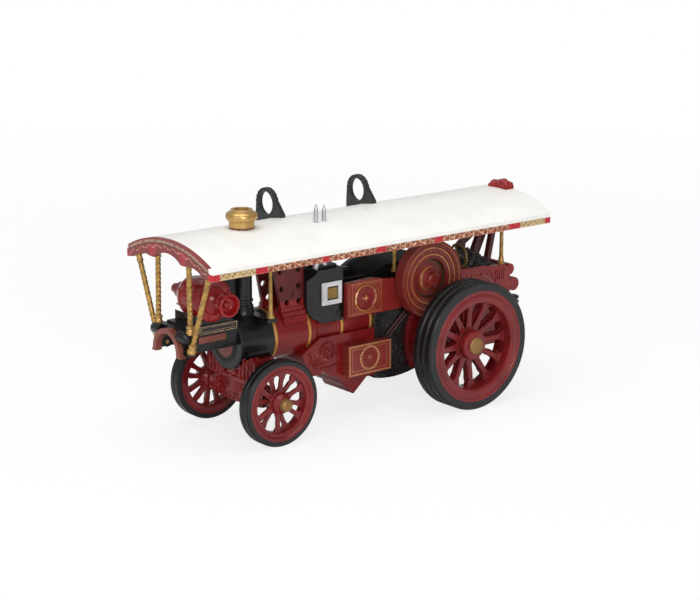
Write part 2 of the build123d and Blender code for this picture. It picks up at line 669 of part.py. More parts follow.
def ash_pan():
    """Pointed drop under the tank's back end."""
    x0 = firebox_front_x + 0.6
    tip_z = firebox_bottom_z - 2.2
    top = firebox_bottom_z + 1.3
    front = ThreePointArc((x0 + 7.9, top), (x0 + 6.8, tip_z + 2.0), (x0 + 5.4, tip_z + 1.5))
    rest = Polyline((x0 + 5.4, tip_z + 1.5), (x0 + 4.4, tip_z), (x0 + 0.4, top), (x0 + 7.9, top))
    return extrude(side_face([front, rest], 5.0), amount=10)


def side_rods():
    """Pair of thin sloping rods on each side of the firebox, above the tool box."""
    y = firebox_half + 0.27
    back_x = firebox_front_x - 8.2
    front_x = firebox_front_x - 3.2
    rods = []
    for off in (-0.4, 0.4):
        rod = leaning_rod((back_x + off * 0.67, y, 20.4 + off * 0.74), (front_x + off * 0.67, y, 16.1 + off * 0.74), 0.22)
        rods += [rod, mirrored(rod)]
    return Compound(rods)


def hornplate():
    """Left plate that carries the rear axle and the crankshaft, with a rounded front edge."""
    x0 = tender_front_x
    x1 = firebox_back_x
    front = ThreePointArc((x1 + 1.9, 20.2), (x1 + 3.5, 13.0), (x1 + 2.0, firebox_bottom_z + 1.4))
    rest = Polyline((x1 + 2.0, firebox_bottom_z + 1.4), (x1, tender_floor_z), (x0, tender_floor_z), (x0, tender_top_z),
                    (crank_x - 3.6, tender_top_z), (crank_x - 2.2, crank_z + 2.2), (crank_x + 2.6, crank_z + 2.2),
                    (crank_x + 3.4, 24.5), (x1 + 1.9, 20.2))
    plate = extrude(side_face([front, rest], tender_half), amount=tender_half - firebox_half - press)
    plate -= rod_y(rear_axle_x, 0, 10, rear_tyre_r, axle_pin_r + running)
    plate -= rod_y(crank_x, 0, 10, crank_z, crankshaft_r + press)
    return plate


# Tender

def tender():
    """Open bunker and footplate in one tub, with rounded top corners at the back."""
    x0 = tender_back_x
    x1 = tender_front_x
    half = tender_half
    side = [(x1, tender_floor_z), (x1, tender_top_z), (x0 + 3.6, tender_top_z - 0.55), (x0 + 1.6, tender_top_z - 0.55),
            (x0 + 0.4, tender_top_z - 1.5), (x0, tender_top_z - 3.0), (x0, tender_floor_z + 2.5),
            (x0 + 3.0, tender_floor_z)]
    body = side_plate(side, -half, half)
    inside = block(x0 + tender_wall, x1 + 1, -half + tender_wall, half - tender_wall, tender_floor_z + 7.0, crown_z)
    body -= inside
    floor = block(x1, firebox_back_x - press, -firebox_half, firebox_half, tender_floor_z, tender_floor_z + 7.0)
    floor -= rod_y(rear_axle_x, -10, 10, rear_tyre_r, axle_pin_r + running)
    for s in (1, -1):
        y = s * half
        body += block(x0 + 3.2, x1 - 0.6, y - 0.1, y + 0.1, tender_floor_z + 1.4, tender_floor_z + 1.8)
        body += tender_band(y)
    return body + floor


def tender_band(y):
    """Raised strap that runs along the top of the tender's side and turns down at its back."""
    x0 = tender_back_x
    z = tender_top_z
    outer = Spline((tender_front_x - 0.3, z - 0.9), (x0 + 9.6, z - 0.35), (x0 + 6.6, z - 1.2), (x0 + 4.6, z - 4.4),
                   (x0 + 3.4, z - 9.0))
    inner = Spline((x0 + 2.7, z - 9.0), (x0 + 3.9, z - 4.1), (x0 + 6.2, z - 0.65), (x0 + 9.6, z - 0.02),
                   (tender_front_x - 0.3, z - 0.3))
    ends = [Line((x0 + 3.4, z - 9.0), (x0 + 2.7, z - 9.0)),
            Line((tender_front_x - 0.3, z - 0.3), (tender_front_x - 0.3, z - 0.9))]
    return extrude(side_face([outer, ends[0], inner, ends[1]], y + 0.15), amount=0.3)


def coal():
    """Heaped load in the bunker."""
    half = tender_half - tender_wall - seat
    x0 = tender_back_x + tender_wall + seat
    x1 = tender_front_x - 3.0
    z0 = tender_floor_z + 7.0
    front = ThreePointArc((x1, coal_top_z - 3.2), (x1 - 1.5, coal_top_z - 0.9), (x1 - 4.2, coal_top_z))
    back = ThreePointArc((x1 - 4.2, coal_top_z), (x1 - 7.4, coal_top_z - 2.1), (x0, tender_top_z - 2.2))
    rest = Polyline((x0, tender_top_z - 2.2), (x0, z0), (x1, z0), (x1, coal_top_z - 3.2))
    return extrude(side_face([front, back, rest], half), amount=2 * half)


def rear_rolls():
    """Two rounded rolls across the tender's back."""
    x = tender_back_x
    rolls = rod_y(x - 0.5, -6.6, 6.6, tender_floor_z + 16.2, 1.3)
    rolls += rod_y(x - 2.2, -6.2, 6.2, tender_floor_z + 12.5, 1.55)
    web = side_plate([(x, tender_floor_z + 9.0), (x - 1.9, tender_floor_z + 11.2), (x - 1.4, tender_floor_z + 15.0),
                      (x, tender_floor_z + 17.2)], -5.6, 5.6)
    return rolls + web - block(x - press, x + 5, -7, 7, tender_floor_z, crown_z)


def hose_coil():
    """Ribbed coil of hose on the tender's back, at the left."""
    z0 = tender_floor_z + 6.6
    profile = [(0, z0)]
    for i in range(4):
        profile += [(1.1, z0 + i), (1.5, z0 + i + 0.25), (1.5, z0 + i + 0.65), (1.1, z0 + i + 0.9)]
    profile.append((0, z0 + 3.9))
    coil = turned_z(profile, tender_back_x - 0.5, tender_half + 0.4)
    return coil - block(tender_back_x - press, tender_back_x + 5, -9, 9, tender_floor_z, crown_z)


def drawbar():
    """Towing eye low on the tender's back."""
    x = tender_back_x
    z0 = tender_floor_z + 3.1
    bar = block(x - 2.2, x, -1.6, 1.6, z0, z0 + 1.4) + rod_z(x - 2.2, 0, z0, z0 + 1.4, 1.6)
    return bar - rod_z(x - 2.2, 0, z0 - 1, z0 + 3, 0.7)


def steering_wheel():
    """Rim, three spokes and a column that leans forward and down onto the left hornplate."""
    x = tender_front_x - 0.3
    y = 5.3
    z = tender_top_z + 2.6
    hornplate_y = (firebox_half + tender_half) / 2
    wheel = Pos(x, y, z) * Rot(0, 90, 0) * (Torus(steering_r, 0.28) + Cylinder(0.5, 0.6))
    for i in range(3):
        wheel += Pos(x, y, z) * Rot(30 + i * 120, 0, 0) * Pos(0, 0, steering_r / 2) * Box(0.3, 0.3, steering_r)
    wheel += leaning_rod((x, y, z), (x + 4.0, hornplate_y, tender_top_z - 0.4), 0.3)
    return wheel - block(x - 1, x + 9, hornplate_y - 3, hornplate_y + 3, tender_top_z - 4, tender_top_z + press)


# Roof

def roof_plan(inset):
    """Upright prism of the roof's outline, drawn in by an inset."""
    corner_r = max(roof_corner_r - inset, 0.05)
    outline = RectangleRounded(roof_length - 2 * inset, roof_width - 2 * inset, corner_r)
    return Pos(roof_mid_x, 0, fascia_bottom_z) * extrude(outline, amount=crown_z)


def roof_arch(r):
    """Long cylinder whose top is the roof's curve."""
    return rod_x(roof_rear_x - 5, roof_front_x + 5, 0, roof_axis_z, r)


def roof_canopy():
    """Curved sheet over the side boards, behind the front board's edge, with the holes for the two pins."""
    body = roof_plan(0) & roof_arch(roof_arc_r)
    body -= roof_arch(roof_arc_r - roof_thickness)
    body -= block(roof_front_x - fascia_thickness - press, roof_front_x + 1, -board_half, board_half,
                  fascia_bottom_z - 1, crown_z + 1)
    for x in pipe_x:
        body -= rod_z(x, pipe_y, 30, 50, pipe_r + press)
    return body


def roof_fascias():
    """Long boards under the roof's sides, returned round its corners."""
    skirt = roof_plan(0) - roof_plan(fascia_thickness)
    skirt = skirt & roof_arch(roof_arc_r - roof_thickness - press)
    middle = block(roof_rear_x - 1, roof_front_x + 1, -board_half, board_half, fascia_bottom_z - 1, crown_z + 1)
    return Compound((skirt - middle).solids())


def valance_openings(x0, x1):
    """Prism of the three arches between the pillars, and all below them."""
    y_end = board_half
    spring_in = inner_pillar_y - 0.7
    spring_out = inner_pillar_y + 0.7
    out_y = outer_pillar_y - 0.8
    peak = crown_z - 2.8
    low = fascia_bottom_z - 2
    edges = [Line((-y_end - 1, low), (y_end + 1, low)), Line((y_end + 1, low), (y_end + 1, fascia_bottom_z)),
             Line((y_end + 1, fascia_bottom_z), (out_y, fascia_bottom_z + 0.3)),
             ThreePointArc((out_y, fascia_bottom_z + 0.3), (out_y - 3.0, peak - 1.5), (spring_out, spring_z)),
             Line((spring_out, spring_z), (spring_in, spring_z)),
             ThreePointArc((spring_in, spring_z), (0, peak), (-spring_in, spring_z)),
             Line((-spring_in, spring_z), (-spring_out, spring_z)),
             ThreePointArc((-spring_out, spring_z), (-out_y + 3.0, peak - 1.5), (-out_y, fascia_bottom_z + 0.3)),
             Line((-out_y, fascia_bottom_z + 0.3), (-y_end - 1, fascia_bottom_z)),
             Line((-y_end - 1, fascia_bottom_z), (-y_end - 1, low))]
    plane = Plane((x0, 0, 0), x_dir=(0, 1, 0), z_dir=(1, 0, 0))
    return extrude(plane * make_face(edges), amount=x1 - x0)


def end_board():
    """Arched board under the roof's front end, between the corners."""
    board = block(roof_front_x - fascia_thickness, roof_front_x, -board_half + press, board_half - press,
                  fascia_bottom_z, crown_z + 1)
    board = board & roof_arch(roof_arc_r)
    return board - valance_openings(roof_front_x - 2, roof_front_x + 1)


def rear_board():
    """The same board under the roof's back end, with its top edge hidden by the sheet."""
    board = end_board() & roof_arch(roof_arc_r - roof_thickness - press)
    return Pos(roof_rear_x - roof_front_x + fascia_thickness, 0, 0) * board


def tube_ring(x):
    """Upright ring on a gusseted foot that holds the long chimney tube."""
    half = ring_thickness / 2
    outer = ring_bore_r + ring_wall
    toe = ring_y + outer + ring_foot
    heel = ring_y - outer - 0.2
    gusset = [(toe, ring_z - 6), (toe, roof_top_z(toe) + 0.6), (ring_y + outer * 0.95, ring_z + outer * 0.3),
              (heel + 0.2, ring_z), (heel, ring_z - 2.5), (heel, ring_z - 6)]
    body = cross_plate(gusset, x - half, x + half)
    body += rod_x(x - half, x + half, ring_y, ring_z, outer)
    body -= rod_x(x - 2, x + 2, ring_y, ring_z, ring_bore_r)
    return body - roof_arch(roof_arc_r + seat)


def roof_block():
    """Two small lumps on the ridge at the roof's back end, the taller one ribbed."""
    x0 = roof_rear_x
    low = Polyline((-2.85, crown_z - 1), (-2.85, crown_z + 0.4))
    crown = ThreePointArc((-2.85, crown_z + 0.4), (-1.6, crown_z + 0.95), (-0.4, crown_z + 0.4))
    rest = Polyline((-0.4, crown_z + 0.4), (0.1, crown_z + 0.4), (0.3, crown_z + 1.3), (2.4, crown_z + 1.3),
                    (2.85, crown_z + 0.4), (2.85, crown_z - 1), (-2.85, crown_z - 1))
    plane = Plane((x0, 0, 0), x_dir=(0, 1, 0), z_dir=(1, 0, 0))
    body = extrude(plane * make_face([low, crown, rest]), amount=2.6)
    for i in range(3):
        y = 0.75 + i * 0.6
        body -= block(x0 - 1, x0 + 4, y - 0.12, y + 0.12, crown_z + 1.05, crown_z + 2)
    return body - roof_arch(roof_arc_r + seat)


def pillar(foot, head, r):
    """Round pillar with a flared foot."""
    lean = Vector(*head) - Vector(*foot)
    flare = Plane(origin=Vector(*foot), z_dir=lean) * Pos(0, 0, 0.65) * Cone(r * 1.9, r, 1.3)
    return leaning_rod(foot, head, r) + flare


def front_pillars():
    """Two upright and two leaning pillars from the platform's nose to the roof's front."""
    head_x = roof_front_x - fascia_thickness - pillar_r - 0.12
    pillars = []
    for s in (1, -1):
        head_z = roof_under_z(inner_pillar_y + pillar_r) - 0.1
        foot = (nose_x - 0.4, s * lug_y, nose_z + nose_r - 0.2)
        pillars.append(pillar(foot, (head_x, s * inner_pillar_y, head_z), pillar_r))
        head_z = roof_under_z(outer_pillar_y + pillar_r) - 0.1
        foot = (nose_x - 0.95, s * (lug_y + 0.3), platform_bottom_z + lug_r)
        pillars.append(pillar(foot, (head_x, s * outer_pillar_y, head_z), pillar_r))
    return Compound(pillars)


def side_pillars():
    """Upright pillars at the smokebox, the motion and the tender."""
    tender_y = tender_half - tender_wall / 2
    places = [(chimney_x - 1.3, 7.9, smokebox_top_z + 0.1), (motion_back_x, 5.2, 29.6),
              (tender_back_x + 2.4, tender_y, tender_top_z - 0.52)]
    pillars = []
    for x, y, foot_z in places:
        r = side_pillar_r
        top = roof_under_z(y + r) - seat
        post = turned_z([(0, foot_z), (r * 1.7, foot_z), (r * 1.7, foot_z + 0.35), (r, foot_z + 0.9), (r, top), (0, top)],
                        x, y)
        pillars += [post, mirrored(post)]
    return Compound(pillars)


def rear_stays():
    """Leaning irons side by side that run from the coal up to the back of the roof."""
    x = tender_front_x
    z = tender_floor_z
    iron = side_plate([(x - 7.9, z + 18.0), (x - 6.3, z + 18.0), (x - 6.3, z + 22.0), (x - 13.6, z + 26.6),
                       (x - 13.6, z + 25.2), (x - 7.9, z + 21.7)], -2.2, -0.8)
    stays = [iron - coal()]
    top = roof_under_z(1.9) - seat
    foot = z + 12.5
    for along, width, lean, y0 in [(6.5, 2.2, 0.475, -0.7), (11.25, 1.1, 0.22, 0.8)]:
        near = x - along + width / 2
        far = near - lean * (top - foot)
        bar = side_plate([(near, foot), (near - width, foot), (far - width, top), (far, top)], y0, y0 + 1.3)
        stays.append(bar - coal())
    return Compound(stays)


# Front axle

def perch_bracket():
    """Red saddle under the smokebox, with a yoke that spreads to both sides and a round turntable."""
    x0 = boiler_front_x + 0.1
    x1 = smokebox_front_x - 1.3
    top = boiler_z - 3.6
    body = cross_plate([(-5.4, top), (-4.9, saddle_z + 1.4), (-3.0, saddle_z), (3.0, saddle_z), (4.9, saddle_z + 1.4),
                        (5.4, top)], x0, x1)
    yoke = cross_plate([(-8.4, top + 0.6), (-8.4, saddle_z + 0.5), (-6.6, saddle_z - 0.3), (-2.6, saddle_z - 0.4),
                        (2.6, saddle_z - 0.4), (6.6, saddle_z - 0.3), (8.4, saddle_z + 0.5), (8.4, top + 0.6),
                        (6.9, top + 1.2), (5.4, top)], x1 - 1.8, x1)
    for s in (1, -1):
        for y in (3.4, 4.7, 5.9, 7.1):
            yoke += rod_z(x1, s * y, saddle_z + 0.6, top + 0.4, 0.35)
        body += block(x0 + 1.2, x1 - 2.6, s * 5.0 - 0.5, s * 5.0 + 0.5, saddle_z + 1.6, top - 0.5)
    yoke += block(x1 - 0.1, x1 + 0.25, -8.0, 8.0, saddle_z + 0.1, saddle_z + 0.6)
    body += yoke
    body += rod_z(front_axle_x, 0, saddle_z - 0.5, saddle_z + 1, 3.2)
    body -= rod_x(10, smokebox_front_x - 1.0, 0, boiler_z, smokebox_r + seat)
    body -= rod_x(smokebox_front_x - 1.4, smokebox_front_x + 1, 0, boiler_z, smokebox_r + door_ring + seat)
    body -= boiler_clearance()
    return body - rod_z(front_axle_x, 0, 10, saddle_z + 1.6, rivet_r + running)


def axle_carrier():
    """Swivelling beam that holds the front axle pin, with its rivet."""
    z = front_tyre_r
    x = front_axle_x
    deep = beam_depth / 2
    beam = cross_plate([(-9.4, z + 1.5), (-4.6, z + deep), (4.6, z + deep), (9.4, z + 1.5), (9.4, z - 1.5),
                        (4.6, z - deep), (-4.6, z - deep), (-9.4, z - 1.5)], x - 1.9, x + 1.9)
    beam += rod_y(x, -10.2, 10.2, z, 1.6)
    beam += rod_z(x, 0, z, saddle_z - 0.5 - running, 3.0)
    beam += rod_z(x, 0, z, saddle_z + 1.3, rivet_r)
    return beam - rod_y(x, -12, 12, z, axle_pin_r + running)


def build():
    front_out = front_face_y + front_hub_out
    rear_out = rear_face_y - rear_hub_in
    return {
        "boiler_barrel": boiler_barrel(),
        "boiler_bands": boiler_bands(),
        "smokebox": smokebox(),
        "smokebox_door": smokebox_door(),
        "chimney": chimney() + chimney_web(),
        "chimney_cap": chimney_cap(),
        "dynamo_platform": dynamo_platform() + dynamo_pedestal(),
        "platform_arch": platform_arch(),
        "platform_panels": platform_panels(),
        "dynamo": dynamo(),
        "dynamo_pulley": dynamo_pulley(),
        "stay_plate_left": stay_plate(),
        "stay_plate_right": mirrored(stay_plate()),
        "cylinder_block": cylinder_block(),
        "valve_frame": valve_frame(),
        "valve_plate": valve_plate(),
        "safety_pipes": safety_pipes(),
        "motion_panel_left": motion_panel(),
        "motion_panel_right": mirrored(motion_panel()),
        "motion_works": motion_works(),
        "crankshaft": crankshaft(),
        "flywheel": flywheel(),
        "firebox": firebox(),
        "belly_tank": belly_tank(),
        "side_box_left": side_box(),
        "side_box_right": mirrored(side_box()),
        "ash_pan": ash_pan(),
        "side_rods": side_rods(),
        "hornplate_left": hornplate(),
        "hornplate_right": mirrored(hornplate()),
        "tender": tender(),
        "coal": coal(),
        "rear_rolls": rear_rolls(),
        "hose_coil": hose_coil(),
        "drawbar": drawbar(),
        "steering_wheel": steering_wheel(),
        "roof_canopy": roof_canopy(),
        "roof_fascias": roof_fascias(),
        "roof_end_boards": Compound([end_board(), rear_board()]),
        "tube_ring_front": tube_ring(ring_x[0]),
        "tube_ring_rear": tube_ring(ring_x[1]),
        "roof_block": roof_block(),
        "front_pillars": front_pillars(),
        "side_pillars": side_pillars(),
        "rear_stays": rear_stays(),
        "perch_bracket": perch_bracket(),
        "axle_carrier": axle_carrier(),
        "front_axle": axle_pin(front_axle_x, front_tyre_r, front_out),
        "front_wheel_left": front_wheel(),
        "front_wheel_right": mirrored(front_wheel()),
        "front_tyre_left": front_tyre(),
        "front_tyre_right": mirrored(front_tyre()),
        "front_hub_caps": hub_caps(front_axle_x, front_tyre_r, front_out, 1.4, 1.5),
        "rear_axle": axle_pin(rear_axle_x, rear_tyre_r, rear_out),
        "rear_wheel_left": rear_wheel(),
        "rear_wheel_right": mirrored(rear_wheel()),
        "rear_tyre_left": rear_tyre(),
        "rear_tyre_right": mirrored(rear_tyre()),
        "rear_hub_caps": hub_caps(rear_axle_x, rear_tyre_r, rear_out, 1.75, 0.5),
    }


os.makedirs("parts", exist_ok=True)
for name, solid in build().items():
    export_step(solid, f"parts/{name}.step")
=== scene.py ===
"""A die-cast toy showman's road engine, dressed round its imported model.  Metres, in the model's frame."""
import math
import random

import bmesh
import bpy
from mathutils import Matrix, Vector, noise


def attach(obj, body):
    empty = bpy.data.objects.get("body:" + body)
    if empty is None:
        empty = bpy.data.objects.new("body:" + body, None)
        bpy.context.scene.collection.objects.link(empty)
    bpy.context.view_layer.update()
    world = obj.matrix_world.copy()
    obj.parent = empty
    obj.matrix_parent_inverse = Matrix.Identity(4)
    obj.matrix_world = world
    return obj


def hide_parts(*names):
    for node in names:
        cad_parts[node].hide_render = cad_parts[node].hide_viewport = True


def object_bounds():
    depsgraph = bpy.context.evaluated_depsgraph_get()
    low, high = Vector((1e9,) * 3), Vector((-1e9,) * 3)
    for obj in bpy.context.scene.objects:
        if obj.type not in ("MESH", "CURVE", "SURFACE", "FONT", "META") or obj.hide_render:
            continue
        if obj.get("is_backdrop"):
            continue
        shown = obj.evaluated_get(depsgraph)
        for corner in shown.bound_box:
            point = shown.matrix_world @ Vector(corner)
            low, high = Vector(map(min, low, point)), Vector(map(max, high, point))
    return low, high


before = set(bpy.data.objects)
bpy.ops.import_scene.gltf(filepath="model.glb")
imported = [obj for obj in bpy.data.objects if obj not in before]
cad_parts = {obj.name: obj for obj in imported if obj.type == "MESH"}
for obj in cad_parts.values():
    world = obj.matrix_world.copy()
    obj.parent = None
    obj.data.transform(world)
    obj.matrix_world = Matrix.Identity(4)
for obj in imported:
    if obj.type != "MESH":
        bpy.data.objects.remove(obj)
cad_box = [list(corner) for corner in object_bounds()]
mm = 0.001


# The studio: a white table under one large soft box, with weaker ones at the left and in front and a small
# bare lamp for sharp glints.  The camera stands where the photograph was taken from, with a long lens.
scene = bpy.context.scene
scene.view_settings.view_transform = "Standard"

camera = bpy.data.objects.new("camera", bpy.data.cameras.new("camera"))
scene.collection.objects.link(camera)
camera.location = Vector((254.9, 317.2, 126.1)) * mm
camera_tilt = math.radians(0.18)
sight = Vector((-1.23, 0, 23.57)) * mm - camera.location
level_view = sight.to_track_quat("-Z", "Y").to_matrix()
camera.rotation_mode = "QUATERNION"
camera.rotation_quaternion = (level_view @ Matrix.Rotation(camera_tilt, 3, "Z")).to_quaternion()
camera.data.sensor_width = 36
camera.data.lens = 100.9
camera.data.clip_start = 0.01
camera.data.clip_end = 20
scene.camera = camera


def chip(red, green, blue):
    """Linear colour of a paint chip's 0 to 255 values."""
    values = [c / 255 for c in (red, green, blue)]
    return [c / 12.92 if c <= 0.04045 else ((c + 0.055) / 1.055) ** 2.4 for c in values] + [1]


engine_middle = Vector((0, 0, 0.02))


def lamp(name, place, size, watts):
    """Square soft box aimed at the engine's middle."""
    light = bpy.data.lights.new(name, "AREA")
    light.size = size
    light.energy = watts
    holder = bpy.data.objects.new(name, light)
    holder.location = place
    holder.rotation_mode = "QUATERNION"
    holder.rotation_quaternion = (engine_middle - Vector(place)).to_track_quat("-Z", "Y")
    scene.collection.objects.link(holder)


lamp("soft_box_over", (0.12, 0.03, 0.8), 0.8, 5.1)
lamp("soft_box_left", (0.3, 0.78, 0.27), 0.35, 2.3)
lamp("small_bare_lamp", (0.42, 0.5, 0.36), 0.05, 0.45)
lamp("soft_box_front", (0.75, 0.15, 0.3), 0.3, 0.9)

# The room looks plain white to the camera, dimmer in what mirrors it, and gives only a little light.
mirrored_strength = 0.45
room_strength = 0.25
world = bpy.data.worlds.new("room")
world.use_nodes = True
scene.world = world
room = world.node_tree
rays = room.nodes.new("ShaderNodeLightPath")
seen = room.nodes.new("ShaderNodeMath")
seen.operation = "MAXIMUM"
room.links.new(rays.outputs["Is Camera Ray"], seen.inputs[0])
room.links.new(rays.outputs["Is Transmission Ray"], seen.inputs[1])
seen_or_mirrored = room.nodes.new("ShaderNodeMath")
seen_or_mirrored.operation = "MULTIPLY_ADD"
room.links.new(rays.outputs["Is Glossy Ray"], seen_or_mirrored.inputs[0])
seen_or_mirrored.inputs[1].default_value = mirrored_strength
room.links.new(seen.outputs[0], seen_or_mirrored.inputs[2])
room_light = room.nodes.new("ShaderNodeMath")
room_light.operation = "MAXIMUM"
room.links.new(seen_or_mirrored.outputs[0], room_light.inputs[0])
room_light.inputs[1].default_value = room_strength
room.nodes["Background"].inputs["Color"].default_value = (1, 1, 1, 1)
room.links.new(room_light.outputs[0], room.nodes["Background"].inputs["Strength"])

# The table keeps the shadow near the engine and goes over to plain white away from it, for the camera alone.
shadow_reach = 0.1
white_reach = 0.4
white_share_near = 0.8
table = bmesh.new()
bmesh.ops.create_grid(table, x_segments=1, y_segments=1, size=4)
floor_mesh = bpy.data.meshes.new("floor")
table.to_mesh(floor_mesh)
table.free()
floor = bpy.data.objects.new("floor", floor_mesh)
scene.collection.objects.link(floor)
floor_paint = bpy.data.materials.new("white_table")
floor_paint.use_nodes = True
top = floor_paint.node_tree
top.nodes["Principled BSDF"].inputs["Base Color"].default_value = chip(250, 250, 250)
top.nodes["Principled BSDF"].inputs["Roughness"].default_value = 0.9
lit = top.nodes.new("ShaderNodeEmission")
seen_table = top.nodes.new("ShaderNodeMath")
seen_table.operation = "MULTIPLY"
top.links.new(top.nodes.new("ShaderNodeLightPath").outputs["Is Camera Ray"], seen_table.inputs[0])
whiter = top.nodes.new("ShaderNodeMapRange")
whiter.inputs["From Min"].default_value = shadow_reach
whiter.inputs["From Max"].default_value = white_reach
whiter.inputs["To Min"].default_value = white_share_near
spot = top.nodes.new("ShaderNodeVectorMath")
spot.operation = "LENGTH"
top.links.new(top.nodes.new("ShaderNodeTexCoord").outputs["Object"], spot.inputs[0])
top.links.new(spot.outputs["Value"], whiter.inputs["Value"])
top.links.new(whiter.outputs["Result"], seen_table.inputs[1])
mixed = top.nodes.new("ShaderNodeMixShader")
top.links.new(seen_table.outputs[0], mixed.inputs[0])
top.links.new(top.nodes["Principled BSDF"].outputs[0], mixed.inputs[1])
top.links.new(lit.outputs[0], mixed.inputs[2])
top.links.new(mixed.outputs[0], top.nodes["Material Output"].inputs["Surface"])
floor_mesh.materials.append(floor_paint)
floor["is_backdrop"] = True


# The boiler barrel and the tank under it: zinc castings sprayed in glossy deep red, which pools darker in
# places and is lighter along the cast edges, as wear and as a painted edge highlight.  A scroll is cast in
# relief on each side of the tank.
def calc(tree, operation, *values, clamp=False):
    """One step of arithmetic in a material, on numbers or on other steps."""
    step = tree.nodes.new("ShaderNodeMath")
    step.operation = operation
    step.use_clamp = clamp
    for socket, value in zip(step.inputs, values):
        if isinstance(value, (int, float)):
            socket.default_value = value
        else:
            tree.links.new(value, socket)
    return step.outputs[0]


def place_on(paint):
    """Distances along the engine, across it and up, in millimetres."""
    tree = paint.node_tree
    coordinates = tree.nodes.new("ShaderNodeTexCoord")
    parts = tree.nodes.new("ShaderNodeSeparateXYZ")
    tree.links.new(coordinates.outputs["Object"], parts.inputs[0])
    return [calc(tree, "MULTIPLY", out, 1000.0) for out in parts.outputs]


def cloud(tree, scale, detail=2.0):
    """Soft noise over the piece; scale is in waves per metre."""
    coordinates = tree.nodes.new("ShaderNodeTexCoord")
    waves = tree.nodes.new("ShaderNodeTexNoise")
    waves.inputs["Scale"].default_value = scale
    waves.inputs["Detail"].default_value = detail
    tree.links.new(coordinates.outputs["Object"], waves.inputs["Vector"])
    return waves.outputs["Fac"]


def blend_colours(tree, share, low, high):
    """Colour that goes from low to high with share; either may be a colour or another step's output."""
    mix = tree.nodes.new("ShaderNodeMix")
    mix.data_type = "RGBA"
    for socket, value in ((mix.inputs["Factor"], share), (mix.inputs["A"], low), (mix.inputs["B"], high)):
        if isinstance(value, bpy.types.NodeSocket):
            tree.links.new(value, socket)
        else:
            socket.default_value = value
    return mix.outputs["Result"]


def enamel(name, colour, pooled, worn, roughness=0.3, gloss=0.14, peel=0.02, grain=2600.0, metal=0.0,
           shine=0.22):
    """Sprayed finish: its colour, the darker shade where it pools, and a lighter one along edges,
    which is wear and also a painted highlight.

    gloss is the share of clear coat, peel the depth of the orange peel in millimetres, grain its waves per
    metre and shine the strength of the mirrored light.
    """
    paint = bpy.data.materials.new(name)
    paint.use_nodes = True
    tree = paint.node_tree
    shader = tree.nodes["Principled BSDF"]
    shader.inputs["Metallic"].default_value = metal
    shader.inputs["Coat Weight"].default_value = gloss
    shader.inputs["Coat Roughness"].default_value = 0.1
    shader.inputs["Specular IOR Level"].default_value = shine
    pools = cloud(tree, 160.0, 4.0)
    patches = calc(tree, "MULTIPLY_ADD", pools, 2.4, -0.7, clamp=True)
    coat = blend_colours(tree, patches, pooled, colour)
    rounded_edge_radius = 0.09 * mm
    rounded = tree.nodes.new("ShaderNodeBevel")
    rounded.samples = 4
    rounded.inputs["Radius"].default_value = rounded_edge_radius
    flat = tree.nodes.new("ShaderNodeNewGeometry")
    facing = tree.nodes.new("ShaderNodeVectorMath")
    facing.operation = "DOT_PRODUCT"
    tree.links.new(rounded.outputs["Normal"], facing.inputs[0])
    tree.links.new(flat.outputs["Normal"], facing.inputs[1])
    # Edges take the lighter colour: partly wear, partly a painted highlight along them.
    turned_away = calc(tree, "SUBTRACT", 1.0, facing.outputs["Value"])
    wear_and_highlight_patches = calc(tree, "MULTIPLY", cloud(tree, 700.0), 5.0)
    edge_wear_and_highlight = calc(tree, "MULTIPLY", turned_away, wear_and_highlight_patches, clamp=True)
    coat = blend_colours(tree, edge_wear_and_highlight, coat, worn)
    tree.links.new(coat, shader.inputs["Base Color"])
    uneven = 0.14
    rough = calc(tree, "MULTIPLY_ADD", cloud(tree, 900.0), uneven, roughness - uneven / 2)
    tree.links.new(rough, shader.inputs["Roughness"])
    bump = tree.nodes.new("ShaderNodeBump")
    bump.inputs["Strength"].default_value = 0.4
    bump.inputs["Distance"].default_value = peel * mm
    tree.links.new(cloud(tree, grain), bump.inputs["Height"])
    tree.links.new(rounded.outputs["Normal"], bump.inputs["Normal"])
    tree.links.new(bump.outputs["Normal"], shader.inputs["Normal"])
    return paint


crisp_edge = math.radians(32)


def dress(paint, *names):
    """Give CAD solids their finish; round surfaces shade smoothly between edges sharper than crisp_edge."""
    for name in names:
        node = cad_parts[name]
        node.data.materials.clear()
        node.data.materials.append(paint)
        for polygon in node.data.polygons:
            polygon.use_smooth = True
        weld = node.modifiers.new("weld", "WELD")
        weld.merge_threshold = 0.002 * mm
        split = node.modifiers.new("crisp_edges", "EDGE_SPLIT")
        split.split_angle = crisp_edge
        split.use_edge_sharp = False


def make_piece(name, shape, paint, body="engine", crisp=38):
    """Object from a finished bmesh, painted, shaded and riding on its body."""
    bmesh.ops.recalc_face_normals(shape, faces=shape.faces[:])
    mesh = bpy.data.meshes.new(name)
    shape.to_mesh(mesh)
    shape.free()
    for polygon in mesh.polygons:
        polygon.use_smooth = True
    mesh.set_sharp_from_angle(angle=math.radians(crisp))
    mesh.materials.append(paint)
    piece = bpy.data.objects.new(name, mesh)
    scene.collection.objects.link(piece)
    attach(piece, body)
    return piece


def lay_line(shape, points, radius, sides=2):
    """Round raised line through a few points, in millimetres, added to a bmesh."""
    curve = bpy.data.curves.new("line", "CURVE")
    curve.dimensions = "3D"
    curve.bevel_depth = radius * mm
    curve.bevel_resolution = sides
    curve.use_fill_caps = True
    spline = curve.splines.new("NURBS")
    spline.points.add(len(points) - 1)
    for knot, point in zip(spline.points, points):
        knot.co = (*(Vector(point) * mm), 1)
    spline.order_u = 3
    spline.use_endpoint_u = True
    spline.resolution_u = 6
    holder = bpy.data.objects.new("line", curve)
    scene.collection.objects.link(holder)
    mesh = bpy.data.meshes.new_from_object(holder.evaluated_get(bpy.context.evaluated_depsgraph_get()))
    shape.from_mesh(mesh)
    bpy.data.objects.remove(holder)
    bpy.data.curves.remove(curve)
    bpy.data.meshes.remove(mesh)


